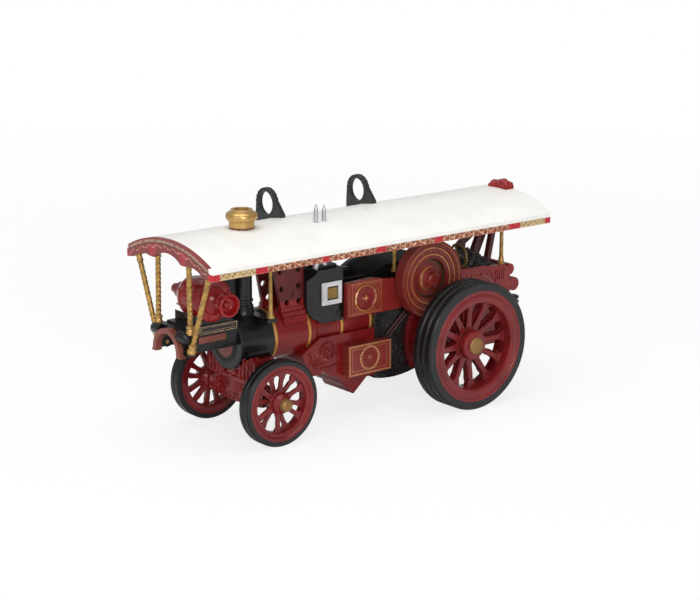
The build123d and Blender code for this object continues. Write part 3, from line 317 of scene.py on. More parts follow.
def scroll(centre_x, y, centre_z, start_r, turns, begin):
    """Points of a scroll that winds inwards from start_r to a fifth of it, eight points to a turn."""
    count = int(turns * 8)
    points = []
    for i in range(count + 1):
        r = start_r * (1 - 0.8 * i / count)
        turn = begin + i * math.pi / 4
        points.append((centre_x + r * math.cos(turn), y, centre_z + r * math.sin(turn)))
    return points


deep_red = (chip(132, 27, 27), chip(104, 15, 17), chip(164, 66, 58))
red_enamel = enamel("red_enamel", *deep_red, 0.26, 0.22)
dress(red_enamel, "boiler_barrel", "belly_tank")

tank_side = 5.85
relief = bmesh.new()
for side in (1, -1):
    y = side * tank_side
    lay_line(relief, scroll(9.3, y, 15.2, 2.3, 1.6, 0.3), 0.3)
    lay_line(relief, [(7.0, y, 14.6), (6.4, y, 13.0), (7.4, y, 11.9), (9.6, y, 11.7), (11.4, y, 11.9)], 0.26)
    lay_line(relief, scroll(12.2, y, 12.9, 1.1, 1.3, -1.6), 0.24)
    lay_line(relief, [(14.4, y, 15.6), (13.6, y, 14.6), (13.9, y, 13.2)], 0.24)
make_piece("tank_scrolls", relief, red_enamel)


# The boiler bands: thin raised rings round the barrel, where its sheet cover is strapped down.  They are
# picked out in a warm gold paint.
gold_paint = enamel("gold_paint", chip(208, 150, 80), chip(164, 108, 54), chip(236, 194, 126), 0.32, 0.2,
                    metal=0.7)
dress(gold_paint, "boiler_bands")


# The smokebox with its chimney: black castings with a coarser, less glossy coat, the smokebox's front ring in
# a deeper black as painted shade.  The chimney's cap is gold over the roof, with a painted shadow in brown
# round its foot, and the door is copper painted darker as shade, inside a black ring.
soot_black = (chip(24, 25, 28), chip(12, 13, 15), chip(62, 62, 64))
black_enamel = enamel("black_enamel", *soot_black, 0.3, 0.16, peel=0.05, grain=1500.0, shine=0.3)
dress(black_enamel, "chimney")


def print_on(paint, mask, colour, roughness=0.35, metal=0.0, worn=0.36):
    """Printed decoration: where mask is 1 the paint takes the ink's colour, thinly worn in places."""
    tree = paint.node_tree
    shader = tree.nodes["Principled BSDF"]
    kept = calc(tree, "MULTIPLY_ADD", cloud(tree, 2400.0), 5.0, -5.0 * worn, clamp=True)
    mask = calc(tree, "MULTIPLY", mask, kept)
    base = shader.inputs["Base Color"].links[0].from_socket
    tree.links.new(blend_colours(tree, mask, base, colour), shader.inputs["Base Color"])
    bare = calc(tree, "SUBTRACT", 1.0, mask)
    rough = calc(tree, "MULTIPLY", shader.inputs["Roughness"].links[0].from_socket, bare)
    tree.links.new(calc(tree, "MULTIPLY_ADD", mask, roughness, rough), shader.inputs["Roughness"])
    if metal:
        links = shader.inputs["Metallic"].links
        under = links[0].from_socket if links else shader.inputs["Metallic"].default_value
        under = calc(tree, "MULTIPLY", bare, under)
        tree.links.new(calc(tree, "MULTIPLY_ADD", mask, metal, under), shader.inputs["Metallic"])


def both(paint, *masks):
    """Where all the masks are 1."""
    share = masks[0]
    for mask in masks[1:]:
        share = calc(paint.node_tree, "MULTIPLY", share, mask)
    return share


def either(paint, *masks):
    """Where any of the masks is 1."""
    share = masks[0]
    for mask in masks[1:]:
        share = calc(paint.node_tree, "MAXIMUM", share, mask)
    return share


def between(paint, value, low, high):
    """1 where a value lies between two limits."""
    return calc(paint.node_tree, "COMPARE", value, (low + high) / 2, (high - low) / 2)


def above(paint, value, limit):
    """1 where a value is over a limit."""
    return calc(paint.node_tree, "GREATER_THAN", value, limit)


def below(paint, value, limit):
    """1 where a value is under a limit."""
    return calc(paint.node_tree, "LESS_THAN", value, limit)


def outside(paint, y, limit):
    """1 on both of the engine's sides, farther from its middle than a limit."""
    return above(paint, calc(paint.node_tree, "ABSOLUTE", y), limit)


def ring_on(paint, u, v, centre, radius, half):
    """Printed ring round a centre; half is half the line's width."""
    tree = paint.node_tree
    across = calc(tree, "SUBTRACT", u, centre[0])
    up = calc(tree, "SUBTRACT", v, centre[1])
    squares = calc(tree, "ADD", calc(tree, "MULTIPLY", across, across), calc(tree, "MULTIPLY", up, up))
    return calc(tree, "COMPARE", calc(tree, "SQRT", squares), radius, half)


def outline_on(paint, u, v, low, high, half):
    """Printed outline of a rectangle between two corners."""
    tree = paint.node_tree
    reach = []
    for value, a, b in ((u, low[0], high[0]), (v, low[1], high[1])):
        off = calc(tree, "ABSOLUTE", calc(tree, "SUBTRACT", value, (a + b) / 2))
        reach.append(calc(tree, "SUBTRACT", off, (b - a) / 2))
    return calc(tree, "COMPARE", calc(tree, "MAXIMUM", *reach), 0.0, half)


# Painted shade: past this x the smokebox's front ring is printed a deeper black, as the shade it lies in.
shade_from_x = 31.3
smokebox_black = enamel("smokebox_black", *soot_black, 0.3, 0.16, peel=0.05, grain=1500.0, shine=0.3)
x = place_on(smokebox_black)[0]
print_on(smokebox_black, above(smokebox_black, x, shade_from_x), chip(13, 13, 15), 0.4, worn=0.0)
dress(smokebox_black, "smokebox")
# Painted shadow: below this height the cap's foot is printed brown, as the shadow line where it meets the
# roof.
foot_shadow_top_z = 43.42
cap_gold = enamel("cap_gold", chip(206, 170, 104), chip(166, 130, 72), chip(238, 218, 168), 0.3, 0.2,
                  metal=0.65)
z = place_on(cap_gold)[2]
print_on(cap_gold, below(cap_gold, z, foot_shadow_top_z), chip(112, 62, 46), worn=0.1)
dress(cap_gold, "chimney_cap")
door_middle = (0, 20.0)
# Painted shade: the door's copper is darker than the platform's copper, as the shade under the platform.
shaded_door_copper = enamel("shaded_door_copper", chip(124, 76, 64), chip(92, 50, 42), chip(160, 106, 90), 0.4, 0.1,
                     metal=0.3)
y, z = place_on(shaded_door_copper)[1:]
print_on(shaded_door_copper, ring_on(shaded_door_copper, y, z, door_middle, 4.4, 1.15), chip(26, 25, 26), 0.4, worn=0.0)
dress(shaded_door_copper, "smokebox_door")


# The platform in front of the smokebox: a black vaulted casting.  A double line is printed round its side
# panels, a copper plate lies under each, and the mouth of the vault has a dull copper lip and a gold stud
# inside.
platform_black = enamel("platform_black", chip(25, 24, 26), chip(12, 12, 14), chip(62, 60, 60), 0.3, 0.14,
                        peel=0.05, grain=1500.0, shine=0.3)
platform_side = 4.3
x, y, z = place_on(platform_black)
lines = either(platform_black, outline_on(platform_black, x, z, (31.9, 23.85), (40.9, 25.25), 0.1),
               outline_on(platform_black, x, z, (32.4, 24.2), (40.5, 24.95), 0.06))
lines = both(platform_black, outside(platform_black, y, platform_side), lines)
print_on(platform_black, lines, chip(158, 132, 104), metal=0.3, worn=0.3)
stud = both(platform_black, ring_on(platform_black, x, z, (43.5, 21.25), 0.0, 0.42),
            between(platform_black, y, -3.4, -3.0))
print_on(platform_black, stud, chip(190, 150, 84), metal=0.6, worn=0.0)
dress(platform_black, "dynamo_platform")
copper_paint = enamel("copper_paint", chip(148, 84, 72), chip(114, 60, 50), chip(196, 134, 112), 0.4, 0.15,
                      metal=0.3)
dress(copper_paint, "platform_panels", "platform_arch")


# The dynamo on the platform: a turned drum in bright red gloss with a flat top, a short bell at the belt
# pulley's end and a long stepped one at the other, with bolts round both.  The pulley is a cup.
def turned(shape, profile, centre, axis, steps=56):
    """Spin (radius, along) points, in millimetres, about an axis through a centre; gives the new vertices."""
    before = set(shape.verts)
    ring = [shape.verts.new((r * mm, 0, along * mm)) for r, along in profile]
    line = [shape.edges.new(pair) for pair in zip(ring, ring[1:])]
    bmesh.ops.spin(shape, geom=ring + line, cent=(0, 0, 0), axis=(0, 0, 1), dvec=(0, 0, 0), angle=math.tau,
                   steps=steps, use_merge=True, use_duplicate=False)
    made = [v for v in shape.verts if v not in before]
    bmesh.ops.remove_doubles(shape, verts=made, dist=1e-7)
    made = [v for v in shape.verts if v not in before]
    turn = Vector((0, 0, 1)).rotation_difference(Vector(axis)).to_matrix().to_4x4()
    bmesh.ops.transform(shape, matrix=Matrix.Translation(Vector(centre) * mm) @ turn, verts=made)
    return made


bright_red = (chip(156, 26, 30), chip(124, 14, 19), chip(198, 88, 82))
dynamo_red = enamel("dynamo_red", *bright_red, 0.22, 0.35)
dynamo_x = 37.5
dynamo_z = 30.4
flat_top_z = 34.0
shaft = (dynamo_x, 0, dynamo_z)
drum = bmesh.new()
turned(drum, [(0, -9.3), (0.75, -9.3), (1.0, -9.05), (1.0, -8.2), (1.25, -8.0), (1.35, -7.2), (1.7, -7.0),
              (1.8, -5.9), (2.2, -5.6), (2.4, -4.6), (2.9, -4.3), (3.2, -3.3), (3.7, -3.0), (4.1, -2.2),
              (4.4, -1.7), (4.5, -1.2), (4.5, -0.8), (4.36, -0.7), (4.36, -0.4), (4.5, -0.3), (4.5, 2.6),
              (4.36, 2.7), (4.36, 3.0), (4.5, 3.1), (4.5, 4.3), (4.35, 4.65), (3.9, 4.85), (3.0, 4.9),
              (2.7, 5.5), (1.7, 6.1), (1.2, 6.4), (1.1, 7.45), (0, 7.45)], shaft, (0, 1, 0), 72)
cut = bmesh.ops.bisect_plane(drum, geom=drum.verts[:] + drum.edges[:] + drum.faces[:],
                             plane_co=(0, 0, flat_top_z * mm), plane_no=(0, 0, 1), clear_outer=True)
bmesh.ops.contextual_create(drum, geom=[e for e in cut["geom_cut"] if isinstance(e, bmesh.types.BMEdge)])
near_circle = 3.75
far_circle = 3.95
for i in range(8):
    turn = math.radians(22.5 + 45 * i)
    if dynamo_z + near_circle * math.sin(turn) < flat_top_z - 0.4:
        turned(drum, [(0, 0.42), (0.2, 0.36), (0.3, 0.18), (0.3, 0)],
               (dynamo_x + near_circle * math.cos(turn), 4.8, dynamo_z + near_circle * math.sin(turn)),
               (0, 1, 0), 10)
        turned(drum, [(0, 0.5), (0.2, 0.42), (0.28, 0.2), (0.28, -0.4)],
               (dynamo_x + far_circle * math.cos(turn), -2.5, dynamo_z + far_circle * math.sin(turn)),
               (0, -1, 0), 10)
dynamo_drum = make_piece("dynamo_drum", drum, dynamo_red)
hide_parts("dynamo")
cup = bmesh.new()
turned(cup, [(0.7, 7.35), (1.6, 7.35), (2.1, 7.7), (2.2, 8.2), (2.1, 8.7), (2.2, 9.4), (2.38, 9.9),
             (2.4, 10.25), (2.25, 10.42), (2.0, 10.42), (1.86, 10.2), (1.7, 9.2), (1.3, 8.8), (0.75, 8.75),
             (0.7, 9.2), (0.45, 9.4), (0, 9.42)], shaft, (0, 1, 0))
pulley_cup = make_piece("pulley_cup", cup, dynamo_red, crisp=50)
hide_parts("dynamo_pulley")


# The pillars that carry the roof: twisted brass rods with turned feet and capitals at the front, and plain
# turned posts along the sides, in a gold paint with painted shade in darker stripes along the hollows of the
# twist.
twist_gold = enamel("twist_gold", chip(196, 156, 88), chip(156, 120, 62), chip(226, 194, 132), 0.36, 0.1,
                    metal=0.6)
x, y, z = place_on(twist_gold)
tree = twist_gold.node_tree
# Painted shade: spiral stripes along the twist are printed darker gold, as the shade in its hollows.
wind = calc(tree, "MULTIPLY_ADD", calc(tree, "SUBTRACT", x, y), 1.5, calc(tree, "MULTIPLY", z, 2.6))
twist_shade = calc(tree, "MULTIPLY_ADD", calc(tree, "SINE", wind), 0.5, 0.1, clamp=True)
print_on(twist_gold, twist_shade, chip(122, 100, 58), metal=0.4, worn=0.15)


def twisted(shape, foot, head, wide, narrow, turns):
    """Rod of oval section that winds as it goes from foot to head, all in millimetres."""
    before = set(shape.verts)
    oval = bmesh.ops.create_circle(shape, cap_ends=True, segments=12, radius=mm)["verts"]
    bmesh.ops.scale(shape, vec=(wide, narrow, 1), verts=oval)
    rim = list(dict.fromkeys(e for v in oval for e in v.link_edges))
    steps = int(turns * 14)
    rise = (head - foot).length / steps * mm
    bmesh.ops.spin(shape, geom=oval + rim, cent=(0, 0, 0), axis=(0, 0, 1), dvec=(0, 0, rise),
                   angle=turns * math.tau, steps=steps, use_duplicate=False)
    made = [v for v in shape.verts if v not in before]
    bmesh.ops.remove_doubles(shape, verts=made, dist=1e-7)
    made = [v for v in shape.verts if v not in before]
    lean = Vector((0, 0, 1)).rotation_difference(head - foot).to_matrix().to_4x4()
    bmesh.ops.transform(shape, matrix=Matrix.Translation(foot * mm) @ lean, verts=made)


rod_foot_x = 43.9
rod_head_x = 43.88
rods = bmesh.new()
heads = bmesh.new()
for side in (1, -1):
    for foot_y, foot_z, head_y, head_z in ((5.7, 25.0, 5.4, 41.6), (6.0, 21.3, 13.2, 39.4)):
        foot = Vector((rod_foot_x, side * foot_y, foot_z))
        head = Vector((rod_head_x, side * head_y, head_z))
        lean = (head - foot).normalized()
        twisted(rods, foot - lean * 0.4, head + lean * 0.2, 0.59, 0.51, 9)
        turned(heads, [(0.5, -3.3), (0.72, -3.15), (0.72, -2.9), (0.6, -2.75), (0.64, -2.0), (0.82, -1.3),
                       (1.02, -0.9), (1.02, -0.5), (0.5, -0.45)], head, lean, 16)
        turned(heads, [(0.4, -0.35), (1.0, -0.35), (1.0, 0.1), (0.8, 0.3), (0.7, 0.8), (0.86, 0.95),
                       (0.86, 1.3), (0.5, 1.45)], foot, lean, 16)
pillar_rods = make_piece("pillar_rods", rods, twist_gold, crisp=60)
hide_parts("front_pillars")
posts = bmesh.new()
for side in (1, -1):
    for foot_x, foot_y, foot_z, tall in ((25.8, 7.9, 25.5, 16.1), (-9.2, 5.2, 29.6, 12.8),
                                         (-39.0, 6.75, 27.4, 14.6)):
        turned(posts, [(0, 0), (0.72, 0), (0.85, 0.15), (0.85, 0.4), (0.66, 0.6), (0.6, 1.2), (0.5, 1.6),
                       (0.46, 2.2), (0.42, tall * 0.5), (0.44, tall - 1.9), (0.6, tall - 1.7),
                       (0.6, tall - 1.45), (0.46, tall - 1.3), (0.52, tall - 0.6), (0.7, tall - 0.25),
                       (0.7, tall), (0, tall)], (foot_x, side * foot_y, foot_z), (0, 0, 1), 16)
side_posts = make_piece("side_posts", posts, twist_gold)
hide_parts("side_pillars")
head_gold = enamel("head_gold", chip(204, 164, 96), chip(164, 124, 66), chip(236, 212, 160), 0.32, 0.2,
                   metal=0.65)
make_piece("pillar_heads", heads, head_gold)


# The stays between the boiler and the roof: a red perforated plate on each side, on a stepped saddle that
# sits round the barrel.  The saddle's steps are riveted, and their red is painted brighter than the plates'
# as a highlight for the light they catch.
stay_red = enamel("stay_red", chip(104, 34, 31), chip(80, 21, 21), chip(146, 70, 62), 0.34, 0.14)
saddle_top_z = 27.0
z = place_on(stay_red)[2]
# Painted highlight: below the saddle's top the red is printed brighter than on the plates.
print_on(stay_red, below(stay_red, z, saddle_top_z), chip(134, 28, 28), 0.28, worn=0.0)
dress(stay_red, "stay_plate_left", "stay_plate_right")
first_stud_x = 14.7
stud_pitch = 0.95
saddle_steps = ((3.83, 25.3), (4.38, 24.4), (4.83, 23.55))
studs = bmesh.new()
for side in (1, -1):
    for spot_y, spot_z in saddle_steps:
        for i in range(6):
            turned(studs, [(0, 0.22), (0.1, 0.2), (0.2, 0.1), (0.2, -0.1)],
                   (first_stud_x + stud_pitch * i, side * spot_y, spot_z), (0, side, 0), 8)
make_piece("stay_studs", studs, red_enamel)


# The cylinder block: black casting with a white frame and a ribbed gold plate on its left side, and the two
# pointed steel pins of the safety valves, which pass through the roof.
block_black = enamel("block_black", chip(17, 17, 18), chip(9, 9, 10), chip(50, 49, 50), 0.3, 0.05, peel=0.22,
                     grain=1100.0, shine=0.45)
dress(block_black, "cylinder_block")
frame_white = enamel("frame_white", chip(226, 224, 226), chip(196, 194, 198), chip(244, 244, 244), 0.4, 0.2)
dress(frame_white, "valve_frame")
plate_gold = enamel("plate_gold", chip(168, 136, 74), chip(122, 96, 48), chip(206, 178, 118), 0.4, 0.1,
                    metal=0.5)
x = place_on(plate_gold)[0]
tree = plate_gold.node_tree
ribs = above(plate_gold, calc(tree, "SINE", calc(tree, "MULTIPLY", x, 13.0)), 0.55)
print_on(plate_gold, ribs, chip(136, 108, 58), metal=0.4, worn=0.2)
dress(plate_gold, "valve_plate")
pin_steel = enamel("pin_steel", chip(206, 206, 210), chip(168, 168, 174), chip(236, 236, 238), 0.3, 0.0,
                   metal=0.9)
dress(pin_steel, "safety_pipes")


# The motion between the panels: slide bars and crank guard in a black painted darker still as the shade under
# the roof, the steel crankshaft, and the red side panels with their printed gold lines and ring, which has
# painted highlights at its left and right.
# Painted shade: the motion works' black is darker than the other blacks, as the shade under the roof.
shaded_black = enamel("shaded_black", chip(15, 13, 14), chip(8, 8, 9), chip(40, 36, 36), 0.55, 0.0, peel=0.1,
                      grain=1200.0, shine=0.15)
dress(shaded_black, "motion_works")
dress(pin_steel, "crankshaft")
panel_red = enamel("panel_red", chip(136, 40, 36), chip(112, 26, 25), chip(166, 78, 66), 0.3, 0.14)
panel_side = 7.3
boss = (0.78, 25.85)
x, y, z = place_on(panel_red)
outer_face = outside(panel_red, y, panel_side)
lines = either(panel_red, outline_on(panel_red, x, z, (-3.7, 22.5), (4.9, 29.1), 0.1),
               outline_on(panel_red, x, z, (-3.2, 22.9), (4.2, 28.7), 0.05),
               ring_on(panel_red, x, z, boss, 2.75, 0.2), ring_on(panel_red, x, z, boss, 3.25, 0.05),
               both(panel_red, ring_on(panel_red, x, z, boss, 3.75, 0.06), between(panel_red, x, -4, -1)))
print_on(panel_red, both(panel_red, outer_face, lines), chip(176, 112, 66), metal=0.45, worn=0.28)
# Painted highlight: pale glints printed on the gold ring's left and right sides.
painted_glint = both(panel_red, outer_face, ring_on(panel_red, x, z, boss, 2.75, 0.14),
             between(panel_red, z, 24.9, 27.4))
print_on(panel_red, painted_glint, chip(232, 190, 150), metal=0.3, worn=0.3)
petals = ring_on(panel_red, x, z, boss, 0.0, 0.75)
cross = either(panel_red, between(panel_red, x, 0.66, 0.9), between(panel_red, z, 25.73, 25.97))
print_on(panel_red, both(panel_red, outer_face, petals, cross), chip(214, 160, 110), metal=0.4, worn=0.2)
dress(panel_red, "motion_panel_left", "motion_panel_right")


# The flywheel: a solid-faced red casting with concentric steps, fixed on the left end of the crankshaft.  Its
# outer face is ringed in worn gold, dull olive and a paler red.
fly_red = enamel("fly_red", chip(128, 44, 38), chip(102, 28, 27), chip(164, 92, 72), 0.3, 0.14)
fly_side = 8.4
axis = (-15.6, 27.95)
x, y, z = place_on(fly_red)
outer_face = above(fly_red, y, fly_side)
gold_rings = either(fly_red, *(ring_on(fly_red, x, z, axis, r, half) for r, half in
                               ((2.55, 0.14), (5.35, 0.16), (6.75, 0.14), (7.85, 0.08))))
print_on(fly_red, both(fly_red, outer_face, gold_rings), chip(186, 128, 78), metal=0.3, worn=0.25)
olive_ring = ring_on(fly_red, x, z, axis, 3.95, 0.3)
print_on(fly_red, both(fly_red, outer_face, olive_ring), chip(74, 52, 32), metal=0.2, worn=0.1)
paler_ring = ring_on(fly_red, x, z, axis, 6.05, 0.5)
print_on(fly_red, both(fly_red, outer_face, paler_ring), chip(134, 62, 50), worn=0.4)
dress(fly_red, "flywheel")


# The firebox and its side rods: rough black casting that glints in small specks.  The tool boxes on its sides
# are red with a pale gold border and a beaded ring, and the drop under the tank is bare red.
rough_black = enamel("rough_black", chip(24, 23, 24), chip(11, 11, 12), chip(70, 68, 66), 0.26, 0.1, peel=0.3,
                     grain=1500.0, shine=0.9)
dress(rough_black, "firebox")
rod_red = enamel("rod_red", chip(96, 66, 62), chip(70, 42, 40), chip(134, 104, 96), 0.36, 0.1)
dress(rod_red, "side_rods")
box_red = enamel("box_red", chip(134, 52, 46), chip(114, 38, 36), chip(170, 92, 78), 0.34, 0.12)
box_side = 7.8
ornament = (-0.38, 12.7)
x, y, z = place_on(box_red)
tree = box_red.node_tree
outer_face = outside(box_red, y, box_side)
border = either(box_red, outline_on(box_red, x, z, (-5.9, 9.5), (5.15, 15.7), 0.22),
                outline_on(box_red, x, z, (-5.0, 10.2), (4.4, 15.0), 0.06))
print_on(box_red, both(box_red, outer_face, border), chip(184, 122, 82), metal=0.35, worn=0.26)
ring = both(box_red, outer_face, ring_on(box_red, x, z, ornament, 2.45, 0.27))
print_on(box_red, ring, chip(148, 92, 62), metal=0.3, worn=0.1)
angle = calc(tree, "ARCTAN2", calc(tree, "SUBTRACT", z, ornament[1]), calc(tree, "SUBTRACT", x, ornament[0]))
pearls = above(box_red, calc(tree, "SINE", calc(tree, "MULTIPLY", angle, 24.0)), 0.1)
print_on(box_red, both(box_red, ring, pearls), chip(206, 152, 108), metal=0.3, worn=0.2)
eye = both(box_red, outer_face, ring_on(box_red, x, z, ornament, 0.3, 0.16))
print_on(box_red, eye, chip(184, 130, 96), metal=0.3)
dress(box_red, "side_box_left", "side_box_right")
dress(red_enamel, "ash_pan")


# The hornplates and the tender: red castings, the tender and its rolls in a lighter red as painted
# reflection.
# The tender has riveted side panels, a ribbed corner, a pale strap over the wheel whose colour is partly a
# painted highlight, and rolls across its back; hose and drawbar are black, the steering wheel brass.
dress(red_enamel, "hornplate_left", "hornplate_right")
# Painted reflection: the tender's red is lighter than the engine's red, for the light its sides reflect.
tender_red_with_reflection = enamel("tender_red_with_reflection", chip(146, 40, 38), chip(118, 24, 25), chip(184, 94, 86), 0.28, 0.3)
dress(tender_red_with_reflection, "tender", "rear_rolls")
dress(black_enamel, "hose_coil", "drawbar")
olive_brass = enamel("olive_brass", chip(128, 108, 58), chip(92, 78, 42), chip(168, 146, 96), 0.4, 0.1,
                     metal=0.5)
dress(olive_brass, "steering_wheel")
tender_side = 7.2
rivet_pitch = 1.5
rib_pitch = 0.62
rivet_spots = [(-28.4 - rivet_pitch * i, 26.0) for i in range(5)]
rivet_spots += [(-28.4 - rivet_pitch * i, 23.4) for i in range(7)]
rivet_spots += [(-28.0, 12.4 + rivet_pitch * i) for i in range(7)]
rivet_spots += [(-40.3, 12.8 + rivet_pitch * i) for i in range(7)]
rivets = bmesh.new()
for side in (1, -1):
    for spot_x, spot_z in rivet_spots:
        turned(rivets, [(0, 0.2), (0.14, 0.17), (0.24, 0)], (spot_x, side * tender_side, spot_z),
               (0, side, 0), 8)
    for i in range(5):
        rib_x = -rib_pitch * i
        lay_line(rivets, [(rib_x - 37.0, side * 7.25, 23.9), (rib_x - 37.1, side * 7.4, 25.0),
                          (rib_x - 37.2, side * 7.25, 26.1)], 0.22)
make_piece("tender_rivets", rivets, tender_red_with_reflection)
# The straps' pale pinkish red is their own paint and also a painted highlight along the lip over the wheel.
strap_highlight_red = enamel("strap_highlight_red", chip(150, 84, 78), chip(120, 56, 52), chip(190, 136, 126), 0.3, 0.3)
straps = bmesh.new()
for side in (1, -1):
    lay_line(straps, [(-32.6, side * 7.3, 25.9), (-34.4, side * 7.35, 25.1), (-35.9, side * 7.35, 23.6),
                      (-36.8, side * 7.3, 21.6)], 0.34, 3)
make_piece("tender_straps", straps, strap_highlight_red)


# The coal: loose lumps on a heap that fills the bunker and falls off to its sides.  It is dull black with
# small shiny faces.
coal_black = enamel("coal_black", chip(24, 23, 23), chip(10, 10, 10), chip(58, 56, 55), 0.5, 0.0, peel=0.12,
                    grain=1700.0, shine=0.6)
crest_x = -34.4
crest_z = 30.1
shoulder_z = 26.7
heap_half = 6.2


def heap_height(along, across):
    """Height of the heap, in millimetres, at a station along the tender and across it."""
    if along > crest_x:
        ridge = crest_z - 3.2 * ((along - crest_x) / 4.2) ** 2
    else:
        ridge = crest_z - 4.6 * ((crest_x - along) / 6.05) ** 1.25
    edge = min(ridge, shoulder_z)
    return edge + (ridge - edge) * (1 - (abs(across) / heap_half) ** 2.6)


bunker_x = -35.3
bunker_length = 9.9
bunker_width = 12.3
bunker_floor_z = 16.8
heap = bmesh.new()
bmesh.ops.create_grid(heap, x_segments=34, y_segments=42, size=0.5)
for vertex in heap.verts:
    along = bunker_x + vertex.co.x * bunker_length
    across = vertex.co.y * bunker_width
    swell = noise.noise(Vector((along * 0.9, across * 0.9, 3.0))) * 0.5
    vertex.co = Vector((along, across, heap_height(along, across) - 0.5 + swell)) * mm
walls = bmesh.ops.extrude_edge_only(heap, edges=[e for e in heap.edges if e.is_boundary])
for vertex in (v for v in walls["geom"] if isinstance(v, bmesh.types.BMVert)):
    vertex.co.z = bunker_floor_z * mm
bmesh.ops.contextual_create(heap, geom=[e for e in heap.edges if e.is_boundary])
pick = random.Random(7)
for i in range(330):
    along = pick.uniform(-40.0, -30.7)
    across = pick.uniform(-5.7, 5.7)
    size = pick.uniform(0.35, 0.85)
    lift = pick.uniform(-0.45, 0.05)
    made = bmesh.ops.create_icosphere(heap, subdivisions=1, radius=size * mm)["verts"]
    for vertex in made:
        vertex.co *= 1 + 0.35 * noise.noise(vertex.co * 1600 + Vector((i, 0, 0)))
    squash = Matrix.Diagonal((1, pick.uniform(0.7, 1), pick.uniform(0.55, 0.8), 1))
    roll = Matrix.Rotation(pick.uniform(0, 6), 4, Vector((pick.random(), pick.random(), 1)))
    place = Matrix.Translation(Vector((along, across, heap_height(along, across) + lift)) * mm)
    bmesh.ops.transform(heap, matrix=place @ roll @ squash, verts=made)
coal_heap = make_piece("coal_heap", heap, coal_black, crisp=20)
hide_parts("coal")


# The roof: one thin curved sheet, painted white and slightly glossy, with a casting of rounded red lumps on
# its back end.  Two black rings for the chimney tube stand on it, beaded round their rims, and irons run up
# to it from the coal.
roof_white = enamel("roof_white", chip(244, 243, 239), chip(237, 235, 230), chip(250, 250, 248), 0.4, 0.1)
dress(roof_white, "roof_canopy")
dress(dynamo_red, "roof_block")
lump_x = -44.7
crest = bmesh.new()
for spot_y, spot_z, wide, high in ((-1.9, 43.7, 1.0, 0.9), (-0.4, 43.9, 0.9, 0.9), (1.0, 44.2, 1.15, 1.0),
                                   (2.1, 43.9, 0.85, 0.95)):
    lump = bmesh.ops.create_uvsphere(crest, u_segments=16, v_segments=10, radius=mm)["verts"]
    place = Matrix.Translation(Vector((lump_x, spot_y, spot_z)) * mm) @ Matrix.Diagonal((1.2, wide, high, 1))
    bmesh.ops.transform(crest, matrix=place, verts=lump)
make_piece("roof_crest", crest, dynamo_red)
ring_black = enamel("ring_black", chip(40, 41, 41), chip(24, 24, 25), chip(96, 96, 94), 0.42, 0.05, peel=0.08,
                    grain=1400.0, shine=0.4)
dress(ring_black, "tube_ring_front", "tube_ring_rear")
ring_y = -8.9
ring_z = 45.3
ring_half = 0.55
bead_circle = 3.0
bead = [(0, ring_half + 0.22), (0.14, ring_half + 0.2), (0.26, ring_half + 0.1), (0.3, ring_half - 0.1),
        (0.3, 0)]
beads = bmesh.new()
for ring_x in (14.0, -10.6):
    for i in range(14):
        turn = math.radians(-36 + 252 * i / 13)
        spot = (ring_x, ring_y + bead_circle * math.cos(turn), ring_z + bead_circle * math.sin(turn))
        for way in (1, -1):
            turned(beads, bead, spot, (way, 0, 0), 8)
make_piece("ring_beads", beads, ring_black)
dark_red = enamel("dark_red", chip(86, 32, 32), chip(60, 20, 22), chip(120, 56, 52), 0.36, 0.3)
dress(dark_red, "rear_stays")


# The roof's side boards: a printed strip of scrolls on brown red, broken by bright red blocks, with cream
# panels near both ends.
strip = enamel("strip", chip(158, 78, 64), chip(140, 60, 50), chip(190, 120, 100), 0.36, 0.2)
strip_middle_z = 38.1
top_edge_z = 38.72
low_edge_z = 37.32
red_blocks = ((43.2, 46), (31.7, 34.6), (16.4, 18.0), (1.5, 3.9), (-14.2, -11.9), (-36.6, -33.3),
              (-47, -44.1))
x, _, z = place_on(strip)
tree = strip.node_tree
cream = either(strip, between(strip, x, 34.6, 43.2), between(strip, x, -44.1, -36.6))
print_on(strip, cream, chip(204, 178, 132), worn=0.0)
wave = calc(tree, "MULTIPLY", calc(tree, "SINE", calc(tree, "MULTIPLY", x, 2.3)), 0.42)
level = calc(tree, "SUBTRACT", z, strip_middle_z)
vine = calc(tree, "COMPARE", level, wave, 0.17)
crossing = calc(tree, "COMPARE", level, calc(tree, "MULTIPLY", wave, -1.0), 0.13)
curls = above(strip, calc(tree, "SINE", calc(tree, "MULTIPLY", x, 4.6)), 0.72)
plain = calc(tree, "SUBTRACT", 1.0, cream)
print_on(strip, both(strip, plain, either(strip, vine, curls)), chip(214, 180, 140), worn=0.34)
print_on(strip, both(strip, plain, crossing), chip(92, 76, 46), worn=0.36)
print_on(strip, both(strip, cream, either(strip, vine, crossing)), chip(122, 98, 54), worn=0.36)
print_on(strip, both(strip, cream, curls), chip(176, 120, 88), worn=0.48)
blocks = either(strip, *(between(strip, x, low, high) for low, high in red_blocks))
print_on(strip, blocks, chip(184, 34, 50), worn=0.2)
print_on(strip, above(strip, z, top_edge_z), chip(150, 62, 54), worn=0.3)
print_on(strip, below(strip, z, low_edge_z), chip(196, 156, 136), worn=0.4)
dress(strip, "roof_fascias")


